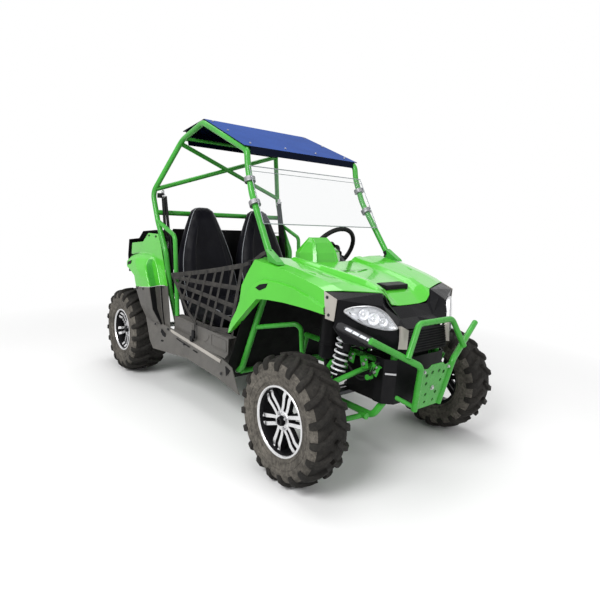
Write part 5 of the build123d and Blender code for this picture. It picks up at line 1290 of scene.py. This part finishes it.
def base_ring(side, ahead, top, bottom, half, bolster):
    """An upright ring round the seat cushion."""
    def spot(turn):
        face, across = squared(cos(turn), 0.5), squared(sin(turn), 0.5)
        return rear(ahead, side * SEAT_ACROSS + across * half,
                    (top + bottom) / 2 + face * (top - bottom) / 2 - sink(bolster, face, across, 0.66))
    return spot


def puff(obj, cap):
    """Fills a pad with air for a moment, with no point moving more than a cap in metres."""
    remesh = obj.modifiers.new("even", "REMESH")
    remesh.mode = "VOXEL"
    remesh.voxel_size = PAD_GRAIN
    settle(obj)
    rest = [vertex.co.copy() for vertex in obj.data.vertices]
    cloth = obj.modifiers.new("air", "CLOTH")
    cloth.settings.use_pressure = True
    cloth.settings.uniform_pressure_force = 4
    cloth.settings.effector_weights.gravity = 0
    cloth.settings.quality = 4
    cloth.collision_settings.use_collision = False
    cloth.point_cache.frame_start, cloth.point_cache.frame_end = 1, PUFF_FRAMES
    for frame_number in range(1, PUFF_FRAMES + 1):
        bpy.context.scene.frame_set(frame_number)
    settle(obj)
    bpy.context.scene.frame_set(1)
    for vertex, start in zip(obj.data.vertices, rest):
        moved = vertex.co - start
        if moved.length > cap:
            vertex.co = start + moved.normalized() * cap
    smooth = obj.modifiers.new("smooth", "SMOOTH")
    smooth.factor, smooth.iterations = 0.5, 6
    settle(obj)
    obj.data.polygons.foreach_set("use_smooth", [True] * len(obj.data.polygons))


def laid_on(pad, spots, steps, lift=0.0):
    """A smooth line through spots, laid on a pad's surface or a little above it."""
    line = []
    for spot in curve_through(spots, steps):
        _, on_pad, out, _ = pad.closest_point_on_mesh(spot)
        line.append(on_pad + out * lift)
    return line


class UTV_OT_seats(bpy.types.Operator):
    """High-backed bucket seats with two lines of stitching on each pad and piping whose pale grey is a
    painted highlight along their edges
    """
    bl_idname = "utv.seats"
    bl_label = "Seats"

    def execute(self, context):
        radius = context.scene.utv_soft.piping
        for name, side in (("right", -1), ("left", 1)):
            back = make(pillow([back_ring(side, *row) for row in BACK_RINGS]), f"seat_{name}_back", "vinyl",
                        replaces=(f"seat_{name}",))
            base = make(pillow([base_ring(side, *row) for row in BASE_RINGS]), f"seat_{name}_cushion",
                        "vinyl")
            for pad, cap in ((back, 0.005), (base, 0.006)):
                puff(pad, cap)
            piping, stitches = Shape(), Shape()
            middle_line = side * SEAT_ACROSS
            edge = [(ahead - (ahead - behind) * 0.22, half, up)
                    for up, ahead, behind, half, _ in BACK_RINGS[1:]]
            outline = [rear(x, middle_line + y, z) for x, y, z in edge]
            outline += [rear(x, middle_line - y, z) for x, y, z in reversed(edge)]
            piping.tube(laid_on(back, outline, 6, radius * 0.3), radius, 8)
            outline = [base_ring(side, *row)(turn) for turn, row in
                       [(1.05, row) for row in BASE_RINGS] + [(-1.05, row) for row in reversed(BASE_RINGS)]]
            piping.tube(laid_on(base, outline, 5, radius * 0.3), radius, 8)
            # the piping's pale grey is a painted highlight along the seats' edges
            make(piping, f"seat_{name}_piping", "piping")
            for share in (-0.56, 0.56):
                for pad, line in (
                    (back, [rear(ahead + 20, middle_line + half * share, up)
                            for up, ahead, _, half, _ in BACK_RINGS[2:9]]),
                    (base, [rear(ahead, middle_line + half * share, top + 20)
                            for ahead, top, _, half, _ in BASE_RINGS[1:7]]),
                ):
                    stitches.tube(laid_on(pad, line, 8), 0.0016, 6)
            make(stitches, f"seat_{name}_stitching", "satin")
        return {"FINISHED"}


class UTV_OT_belts(bpy.types.Operator):
    """Seat belts hanging beside the rear pillars, with their rings and reels"""
    bl_idname = "utv.belts"
    bl_label = "Seat belts"

    def execute(self, context):
        webbing, metalwork, reels = Shape(), Shape(), Shape()
        for ahead, lean, out in ((262, 0, 455), (284, 34, 448)):
            line = bend(rear, (ahead, out, 900), (ahead + 32 + lean * 0.3, out + 1, 740),
                        (ahead + 66 + lean * 0.5, out - 1, 560), (ahead + 104 + lean * 0.4, out, 380))
            webbing.ribbon(line, Vector((1, 0, 0)), 0.040, 0.0024)
        make(webbing, "seat_belt_webbing", "belt", replaces=("seat_belts",), mirrored=True,
             sharp=30)
        for ahead, up in ((268, 905), (372, 420)):
            metalwork.tube([rear(ahead + 27 * cos(turn), 455, up + 13 * sin(turn)) for turn in turns(20)],
                           0.003, 8, loop=True)
            metalwork.hexagon(rear(ahead, 456, up + 22), (0, 1, 0), 0.008, 0.010)
            metalwork.block(rear(ahead, 456, up + 18), (0.03, 0.003, 0.034))
        metalwork.block(rear(330, 458, 610), (0.044, 0.004, 0.052))
        make(metalwork, "seat_belt_rings", "steel", mirrored=True, edge=0.0008)
        for spot, size in (((392, 462, 345), (0.062, 0.040, 0.074)), ((250, 470, 905), (0.045, 0.018, 0.030)),
                           ((332, 458, 640), (0.050, 0.014, 0.030))):
            reels.block(rear(*spot), size)
        make(reels, "seat_belt_reels", "satin", mirrored=True, edge=0.004)
        return {"FINISHED"}


# door net, ahead and up: straps from the guard forward, the net's back end and length, its lower edge, and
# how far ahead the heads and feet of its uprights are
NET_STRAPS = (
    ((-1240, 440), (-870, 515), (-506, 586)), ((-1228, 430), (-880, 452), (-548, 468)),
    ((-1188, 392), (-870, 386), (-560, 372)), ((-1122, 328), (-860, 322), (-574, 296)),
    ((-1240, 440), (-1140, 346), (-1051, 258), (-956, 203)), ((-956, 203), (-780, 216), (-592, 240)),
    ((-506, 586), (-552, 416), (-594, 240)),
)
NET_BACK, NET_LENGTH = -1240, 734
NET_EDGE = ((-1240, 440), (-1051, 258), (-956, 203), (-592, 240))
NET_UPRIGHTS = ((-1112, -1166), (-1020, -1108), (-930, -1046), (-845, -968), (-760, -880), (-676, -790),
                (-590, -694))


class UTV_OT_nets(bpy.types.Operator):
    """Door nets: straps fanning from the guard, crossed by upright straps"""
    bl_idname = "utv.nets"
    bl_label = "Door nets"

    def execute(self, context):
        sizes = context.scene.utv_soft
        width, thick = sizes.strap_width, sizes.strap_thickness
        web, ties, buckles = Shape(), Shape(), Shape()

        def spot(ahead, up, out=0):
            share = (ahead - NET_BACK) / NET_LENGTH
            bulge = 8 * sin(pi * min(1, max(0, share)))
            return front(ahead, lerp(499, 484, share) - bulge + out, up)

        def between(line, ahead):
            for (start, low_end), (end, high_end) in zip(line, line[1:]):
                if start <= ahead <= end:
                    return lerp(low_end, high_end, (ahead - start) / (end - start))
            return line[0][1] if ahead < line[0][0] else line[-1][1]

        for line in NET_STRAPS:
            path = bend(spot, *line)
            web.ribbon([point - Vector((0, 0, 0.007 * sin(pi * index / (len(path) - 1))))
                        for index, point in enumerate(path)], Vector((0.35, 0, 1)), width, thick)
        for number, (head, foot) in enumerate(NET_UPRIGHTS):
            high, deep = between(NET_STRAPS[0], head), between(NET_EDGE, foot)
            run = [spot(lerp(head, foot, step / 12), lerp(high, deep, step / 12), 2.8 if number % 2 else -2.4)
                   for step in range(13)]
            web.ribbon(run, Vector((1, 0, 0.4)), width * 0.86, thick)
        make(web, "door_net_straps", "net", replaces=("side_nets",), mirrored=True, sharp=30)
        for path, wide_along, wide in (
            ([front(-506, 484, 586), front(-440, 470, 612), front(-392, 452, 652), front(-372, 446, 664)],
             (0, 0, 1), 0.018),
            ([front(-956, 492, 203), rear(795, 498, 190), rear(800, 504, 150), rear(790, 506, 112)],
             (1, 0, 0), 0.022),
            ([front(-592, 486, 240), front(-556, 486, 262), front(-570, 489, 214)], (1, 0, 0), 0.018),
        ):
            ties.ribbon(path, Vector(wide_along), wide, thick)
        make(ties, "door_net_ties", "net", mirrored=True, sharp=30)
        buckles.block(rear(797, 507, 140), (0.030, 0.012, 0.046))
        buckles.block(rear(780, 508, 108), (0.034, 0.012, 0.030))
        buckles.block(front(-452, 474, 606), (0.026, 0.010, 0.024))
        make(buckles, "door_net_buckles", "satin", mirrored=True, edge=0.003)
        return {"FINISHED"}


# ---- sills, rear body and drive -----------------------------------------------------------


def sill(share, up, out=0):
    """A point on the sill, part of the way from its back end to its front end."""
    along = lerp(rear(511, 0, 0).x, front(-638, 0, 0).x, share)
    return Vector((along, (508 + 14 * (100 - up) / 130 + out) * MM, REAR_AXLE.z + up * MM))


class UTV_OT_sill_details(bpy.types.Operator):
    """Pale strips, dark plates of painted shade for the recesses, and bolts of the moulded sills, and the
    step boxes' mouldings
    """
    bl_idname = "utv.sill_details"
    bl_label = "Sill details"

    def execute(self, context):
        dark, strips, arcs = Shape(), Shape(), Shape()
        strips.rows([[sill(0.0, 106, 1), sill(0.0, 96, 3), sill(0.0, 88, 1)],
                     [sill(1.0, 76, -2), sill(1.0, 64, 0), sill(1.0, 56, -2)]])
        make(strips, "sill_strips", "accent", mirrored=True, outward=(0, 1, 0),
             thickness=0.003, edge=0.0008)
        # dark plates a little proud of the panels where the sills and rear panels have recesses: painted
        # shade
        for place_on, depth, *spots in (
            (sill, 1.6, (0.14, 66), (0.155, 72), (0.44, 60), (0.43, 54)),
            (sill, 1.6, (0.50, 50), (0.515, 56), (0.60, 52), (0.585, 46)),
            (rear, 2, (430, 537, 62), (440, 534, 96), (480, 527, 72), (488, 527, 46)),
            (rear, 2, (452, 545, 22), (462, 542, 32), (508, 529, 22), (502, 531, 12)),
            (front, 2, (-548, 504, 40), (-590, 507, 54), (-572, 512, 6)),
        ):
            dark.prism([place_on(*spot) for spot in spots], (0, depth * MM, 0))
        make(dark, "sill_recess_painted_shade", "satin", mirrored=True)
        side_bolts("sill_bolts", 0.006, front(-620, 515, 6), rear(497, 520, 104), rear(400, 558, 120),
                   rear(700, 516, 60))
        arcs.tube([rear(872, 485, 168) + Vector((cos(turn) * 0.062, 0.0, -sin(turn) * 0.05))
                   for turn in (0.1 + 1.4 * step / 14 for step in range(15))], 0.0022, 6)
        for outline in (((960, 176), (1110, 176), (1118, 118), (965, 118), (960, 176)),
                        ((540, 182), (740, 182), (744, 124), (540, 128))):
            arcs.tube([rear(ahead, 485, up) for ahead, up in outline], 0.0018, 6)
        make(arcs, "step_box_mouldings", "trim", mirrored=True)
        return {"FINISHED"}


# rear body side, ahead, across and up: height rows, columns from the door edge over a step to the arch
REAR_SIDE_LOW = (
    ((498, 506, 112), (458, 508, 114), (424, 513, 118), (434, 538, 122), (352, 562, 134), (284, 571, 147)),
    ((480, 505, 210), (432, 507, 211), (394, 513, 214), (410, 582, 216), (330, 592, 218), (262, 596, 218)),
    ((449, 505, 361), (407, 506, 358), (368, 513, 354), (375, 590, 348), (286, 597, 336), (188, 600, 325)),
)
REAR_SIDE_HIGH = (
    ((447, 505, 363), (405, 506, 360), (366, 513, 356), (374, 590, 350), (285, 597, 338), (187, 600, 327)),
    ((420, 504, 421), (380, 505, 418), (338, 512, 414), (337, 591, 408), (262, 600, 400), (168, 604, 394)),
    ((406, 504, 455), (364, 505, 452), (316, 510, 448), (312, 588, 446), (225, 602, 436), (112, 606, 420)),
    ((392, 503, 484), (350, 504, 481), (296, 509, 478), (287, 580, 478), (180, 598, 460), (47, 604, 436)),
    ((378, 502, 512), (336, 503, 509), (276, 507, 506), (258, 552, 508), (160, 588, 502), (31, 600, 471)),
    ((368, 502, 532), (326, 503, 529), (262, 505, 524), (238, 520, 524), (165, 556, 524), (84, 590, 508)),
    ((360, 501, 549), (316, 502, 546), (250, 504, 540), (215, 505, 536), (140, 506, 534), (30, 508, 524)),
    ((336, 500, 602), (292, 501, 603), (230, 501, 602), (180, 502, 602), (67, 502, 601), (-80, 505, 582)),
)
REAR_SIDE_CROWN = ((291, 498, 668), (250, 498, 667), (205, 498, 665), (165, 498, 664), (144, 498, 663))


def rear_rows(*rows):
    """Rows of points in millimetres from the rear axle line."""
    return [[rear(*spot) for spot in row] for row in rows]


def side_band(rows, column, start, end, forward=0.0, out=0.0):
    """A band up the rear side between two shares of a column's width."""
    band = []
    for row in rows:
        inner, outer = rear(*row[column]), rear(*row[column + 1])
        push = Vector((forward, out, 0)) * MM
        band.append([lerp(inner, outer, start) + push, lerp(inner, outer, end) + push])
    return band


class UTV_OT_rear_body(bpy.types.Operator):
    """Rear fenders with a bulge over the wheel above plain grey side panels, recessed behind the door"""
    bl_idname = "utv.rear_body"
    bl_label = "Rear body"

    def execute(self, context):
        panel = context.scene.utv_panel
        low, high = Shape(), Shape()
        low.rows(rear_rows(*REAR_SIDE_LOW))
        make(low, "rear_side_shells", "trim", replaces=("rear_side_panels",),
             outward=(0, 1, 0), mirrored=True, thickness=panel.thickness, fold=panel.fold)
        tail = ((30, 508, 524), (-80, 505, 582), (-111, 505, 576), (-115, 508, 500))
        brim = [row[5] for row in REAR_SIDE_HIGH[:7]] + [tail[3]]
        high.rows(rear_rows(*REAR_SIDE_HIGH))
        high.rows(rear_rows(REAR_SIDE_HIGH[-1][:5], REAR_SIDE_CROWN))
        high.put([rear(*spot) for spot in tail], [(0, 1, 2, 3)])
        high.rows(rear_rows(brim, [(x - 4, y - 24, up - 8) for x, y, up in brim]))
        make(high, "rear_fender_shells", "green", replaces=("rear_fenders",),
             outward=(0, 1, 0), mirrored=True, thickness=panel.thickness, fold=0.007)
        return {"FINISHED"}


class UTV_OT_rear_body_details(bpy.types.Operator):
    """Ribs, dark-green strips of painted shade, slots and bolts of the rear fenders and side panels, and the
    lamps' ribs
    """
    bl_idname = "utv.rear_body_details"
    bl_label = "Rear body details"

    def execute(self, context):
        ribs, shade_strips, slots, trims = Shape(), Shape(), Shape(), Shape()
        ribs.rows(side_band(REAR_SIDE_LOW, 2, 0.50, 0.97, forward=1.4))
        ribs.rows(side_band(REAR_SIDE_LOW, 1, 0.62, 0.86, out=1.4))
        make(ribs, "rear_panel_ribs", "satin", mirrored=True, outward=(1, 1, 0),
             thickness=0.003, edge=0.0006)
        # a strip of the darker frame green up the rear fender's forward-facing facet: painted shade
        shade_strips.rows(side_band(REAR_SIDE_HIGH[:5], 2, 0.38, 0.86, forward=1.4))
        make(shade_strips, "rear_fender_painted_shade", "frame", mirrored=True, outward=(1, 0, 0),
             thickness=0.003, edge=0.0006)
        near, far = ((rear(*row[5]), rear(*row[4])) for row in REAR_SIDE_HIGH[3:5])
        outline = [lerp(lerp(near[0], near[1], along), lerp(far[0], far[1], along), level)
                   for along, level in ((0.14, 0.30), (0.22, 0.80), (0.60, 0.86), (0.52, 0.34))]
        slots.prism([spot - Vector((0, 0.002, 0)) for spot in outline], (0, 0.005, 0))
        make(slots, "rear_fender_slots", "satin", mirrored=True)
        side_bolts("rear_body_bolts", 0.0056, rear(212, 600, 318), rear(300, 598, 328), rear(396, 507, 346),
                   rear(262, 499, 650), rear(158, 499, 648))
        for up in (424, 440, 456):
            trims.block(rear(-223.5, 422, up), (0.003, 0.036, 0.005))
        make(trims, "tail_light_ribs", "red", mirrored=True, edge=0.001)
        return {"FINISHED"}


RIB = ((-1, 0), (-0.6, 4), (0.6, 4), (1, 0))     # a rib's outline: share of its half width, height in mm


def tail_face(up, across, out):
    """A point on the two upright faces at the back of the deck."""
    ahead = lerp(-202, -222, (595 - up) / 114) if up > 481 else lerp(-222, -205, (481 - up) / 109)
    return rear(ahead - out, across, up)


class UTV_OT_tailgate(bpy.types.Operator):
    """Tailgate panel with a pull bar and hinges, reflectors, lamp frames, deck ribs and louvres"""
    bl_idname = "utv.tailgate"
    bl_label = "Tailgate"

    def execute(self, context):
        gate, ribs, pull, reflectors = Shape(), Shape(), Shape(), Shape()
        lamp, louvres, deck = Shape(), Shape(), Shape()
        levels = ((582, 0), (572, 7), (528, 7), (481, 7), (404, 7), (394, 0))
        columns = ((-384, 0), (-374, 7), (0, 7), (374, 7), (384, 0))
        gate.rows([[tail_face(up, across, min(out, proud)) for across, proud in columns]
                   for up, out in levels])
        make(gate, "tailgate_panel", "satin", outward=(-1, 0, 0), thickness=0.003,
             fold=0.004)
        for number in (-4, -3, -2, 2, 3, 4):
            ribs.rows([[tail_face(up, number * 78 + side * 5, 7 + proud) for side, proud in RIB]
                       for up in (556, 481, 420)])
        make(ribs, "tailgate_ribs", "satin", outward=(-1, 0, 0), thickness=0.003, edge=0.001)
        pull.tube(bend(tail_face, (535, -92, 6), (535, -86, 24), (535, 0, 27), (535, 86, 24), (535, 92, 6)),
                  0.0065, 12)
        for side in (-1, 1):
            pull.lathe(in_mm((0, 14), (4, 14), (6, 11)), tail_face(535, side * 92, 7), (-1, 0, 0), 20,
                       caps=True)
            pull.lathe(in_mm((-30, 7.5), (30, 7.5)), tail_face(398, side * 250, 8), (0, 1, 0), 16, caps=True)
            pull.block(tail_face(418, side * 250, 8), (0.006, 0.036, 0.040))
        make(pull, "tailgate_pull_and_hinges", "dark_steel", edge=0.0008, sharp=35)
        reflectors.block(tail_face(446, 345, 9), (0.006, 0.046, 0.020))
        make(reflectors, "tailgate_reflectors", "red", mirrored=True, edge=0.002)
        for start_out in (0, 7):
            lamp.rows([[tail_face(440 + z * size, 422 + y * size, out)
                        for y, z in ((-26, -44), (26, -44), (26, 44), (-26, 44))]
                       for size, out in ((1.12, start_out), (0.98, 7))], ring=True)
        make(lamp, "tail_light_frames", "grain", mirrored=True, thickness=0.002, edge=0.001)
        slope = Matrix.Rotation(-atan2(52, 68), 3, "Y")
        for number in range(5):
            share = 0.14 + number * 0.18
            louvres.block(rear(lerp(45, -23, share), 350, lerp(669, 617, share)), (0.008, 0.20, 0.010), slope)
        make(louvres, "deck_louvres", "satin", mirrored=True, edge=0.0015)
        for number in range(7):
            deck.rows([[rear(ahead, (number - 3) * 118 + side * 9, up + proud) for side, proud in RIB]
                       for ahead, up in ((-40, 615.4), (-110, 606.9), (-184, 597.9))])
        make(deck, "rear_deck_ribs", "grain", outward=(0, 0, 1), thickness=0.003, edge=0.001)
        return {"FINISHED"}


class UTV_OT_engine_details(bpy.types.Operator):
    """Cooling fins, side covers and bolts of the engine, and the exhaust's bands"""
    bl_idname = "utv.engine_details"
    bl_label = "Engine details"

    def execute(self, context):
        fins, case, bolts, bands = Shape(), Shape(), Shape(), Shape()
        for number in range(9):
            fins.block(rear(215, 0, 180 + number * 9), (0.242 - number * 0.002, 0.20, 0.004))
        make(fins, "engine_fins", "cast", edge=0.001)
        for side, ahead, profile in ((1, 225, ((0, 82), (20, 80), (28, 66), (30, 20))),
                                     (-1, 210, ((0, 74), (18, 72), (25, 58), (27, 20)))):
            case.lathe(in_mm(*profile), rear(ahead, side * 180, 150), (0, side, 0), 40, caps=True)
        make(case, "engine_covers", "satin", sharp=50)
        for turn in range(6):
            spin = turn * pi / 3 + 0.2
            for side, ahead, across, radius in ((1, 225, 204, 72), (-1, 210, -203, 64)):
                bolts.hexagon(rear(ahead + radius * cos(spin), across, 150 + radius * sin(spin)),
                              (0, side, 0), 0.005, 0.006)
        make(bolts, "engine_bolts", "steel", sharp=30)
        for number in range(5):
            bands.lathe(in_mm((-4, 52.5), (-4, 55.5), (4, 55.5), (4, 52.5)),
                        rear(-160 + number * 50, 288, 285), (1, 0, 0), 40)
        make(bands, "exhaust_bands", "steel")
        return {"FINISHED"}


# ---- stage --------------------------------------------------------------------------------

TILE, FLOOR_TILES = 3.0, 7    # size of the floor's squares in m, and how many there are each way
FLOOR_LEVEL = -0.0006
FLOOR_FADE = (1.5, 3.2)       # where the floor starts and ends to fade, m from the middle
WORLD_LIGHT = 0.45            # strength of the white world as a light
LAMP_AIM = Vector((0.1, 0, 0.7))
CAMERA_SPOT = (2.3675, -1.8083, 1.1472)
YAW, PITCH, ROLL = 2.4362, 0.1800, 0.0619


def background_rays(tree):
    """One for the rays that look at the backdrop: seen, mirrored or through glass."""
    path = tree.nodes.new("ShaderNodeLightPath").outputs
    return combine(tree, combine(tree, path["Is Camera Ray"], path["Is Glossy Ray"], "MAXIMUM"),
                   path["Is Transmission Ray"], "MAXIMUM")


def lay_floor(scene):
    """A pale floor that fades into the backdrop away from the vehicle."""
    shape = Shape()
    steps = range(-FLOOR_TILES, FLOOR_TILES + 1)
    shape.rows([[Vector((x * TILE, y * TILE, FLOOR_LEVEL)) for x in steps] for y in steps])
    mesh = bpy.data.meshes.new("floor")
    mesh.from_pydata([tuple(point) for point in shape.points], [], shape.faces)
    ground = bpy.data.objects.new("floor", mesh)
    scene.collection.objects.link(ground)
    finish, tree, shader = new_finish("pale_floor", roughness=0.85, specular=0.1)
    feed(tree, shader, {"Base Color": mottled(tree, 0.6, (0.80, 0.80, 0.80), (0.82, 0.82, 0.82))})
    reach = add(tree, "VectorMath", {0: place(tree)}, "Value", operation="LENGTH")
    fade = combine(tree, spread(tree, reach, 0, 1, *FLOOR_FADE), background_rays(tree))
    mixed = add(tree, "MixShader", {"Fac": fade, 1: shader.outputs["BSDF"], 2: add(tree, "Emission", {})},
                "Shader")
    feed(tree, tree.nodes["Material Output"], {"Surface": mixed})
    mesh.materials.append(finish)


def light_room(scene, sizes):
    """A white world, dimmer for the light it casts, and three square lamps."""
    world = bpy.data.worlds.new("studio")
    scene.world = world
    world.use_nodes = True
    tree = world.node_tree
    level = add(tree, "MapRange", {"Value": background_rays(tree), "To Min": WORLD_LIGHT, "To Max": 1.0},
                "Result")
    feed(tree, tree.nodes["Background"], {"Color": (1, 1, 1, 1), "Strength": level})
    for name, spot, size, power in (
        ("key", (1.6, -4.6, 4.2), 2.6, sizes.key_power), ("fill", (4.6, 1.2, 2.2), 2.4, sizes.fill_power),
        ("top", (-0.6, 0.4, 5.0), 3.4, sizes.top_power),
    ):
        data = bpy.data.lights.new(name, "AREA")
        data.shape, data.size, data.energy = "SQUARE", size, power
        lamp = bpy.data.objects.new(name, data)
        scene.collection.objects.link(lamp)
        lamp.location = spot
        lamp.rotation_mode = "QUATERNION"
        lamp.rotation_quaternion = (LAMP_AIM - Vector(spot)).to_track_quat("-Z", "Y")


def place_camera(scene, lens):
    """The camera, looking along its yaw and pitch and rolled a little."""
    ahead = Vector((cos(YAW) * cos(PITCH), sin(YAW) * cos(PITCH), -sin(PITCH)))
    right = Vector((sin(YAW), -cos(YAW), 0))
    up = right.cross(ahead)
    turn = Matrix((right * cos(ROLL) + up * sin(ROLL),
                   up * cos(ROLL) - right * sin(ROLL), -ahead)).transposed()
    data = bpy.data.cameras.new("camera")
    data.lens, data.sensor_width = lens, 36
    camera = bpy.data.objects.new("camera", data)
    scene.collection.objects.link(camera)
    camera.matrix_world = Matrix.Translation(CAMERA_SPOT) @ turn.to_4x4()
    scene.camera = camera


class UTV_OT_stage(bpy.types.Operator):
    """Pale floor, soft lamps and the camera"""
    bl_idname = "utv.stage"
    bl_label = "Stage"

    def execute(self, context):
        scene = context.scene
        lay_floor(scene)
        light_room(scene, scene.utv_stage)
        place_camera(scene, scene.utv_stage.lens)
        scene.view_settings.view_transform = "Standard"
        return {"FINISHED"}


OPERATORS = (
    UTV_OT_stage, UTV_OT_frame_finish, UTV_OT_tyres, UTV_OT_rims, UTV_OT_shocks, UTV_OT_hood,
    UTV_OT_front_fenders, UTV_OT_headlights, UTV_OT_lit_strips, UTV_OT_nose_details, UTV_OT_nose_inside,
    UTV_OT_arm_brackets, UTV_OT_roof_details, UTV_OT_screen_details, UTV_OT_cowl, UTV_OT_cab_details,
    UTV_OT_seats, UTV_OT_belts, UTV_OT_nets, UTV_OT_sill_details, UTV_OT_rear_body, UTV_OT_rear_body_details,
    UTV_OT_tailgate, UTV_OT_engine_details,
)


class UTV_PT_build(bpy.types.Panel):
    """Lists the vehicle's settings and its pieces"""
    bl_idname = "UTV_PT_build"
    bl_label = "Off-Road Vehicle"
    bl_space_type = "VIEW_3D"
    bl_region_type = "UI"
    bl_category = "Off-Road"

    def draw(self, context):
        """Draws the settings and one button for each piece."""
        for name, group in SETTINGS.items():
            box = self.layout.box()
            for setting in group.__annotations__:
                box.prop(getattr(context.scene, name), setting)
        for operator in OPERATORS:
            self.layout.operator(operator.bl_idname)


def register():
    """Registers the settings, the operators and the panel."""
    for entry in (*SETTINGS.values(), *OPERATORS, UTV_PT_build):
        bpy.utils.register_class(entry)
    for name, group in SETTINGS.items():
        setattr(bpy.types.Scene, name, PointerProperty(type=group))


def unregister():
    """Takes them away again."""
    for name in SETTINGS:
        delattr(bpy.types.Scene, name)
    for entry in reversed((*SETTINGS.values(), *OPERATORS, UTV_PT_build)):
        bpy.utils.unregister_class(entry)


def main():
    """Builds everything in order."""
    register()
    for operator in OPERATORS:
        group, name = operator.bl_idname.split(".")
        getattr(getattr(bpy.ops, group), name)()


if __name__ == "__main__":
    main()
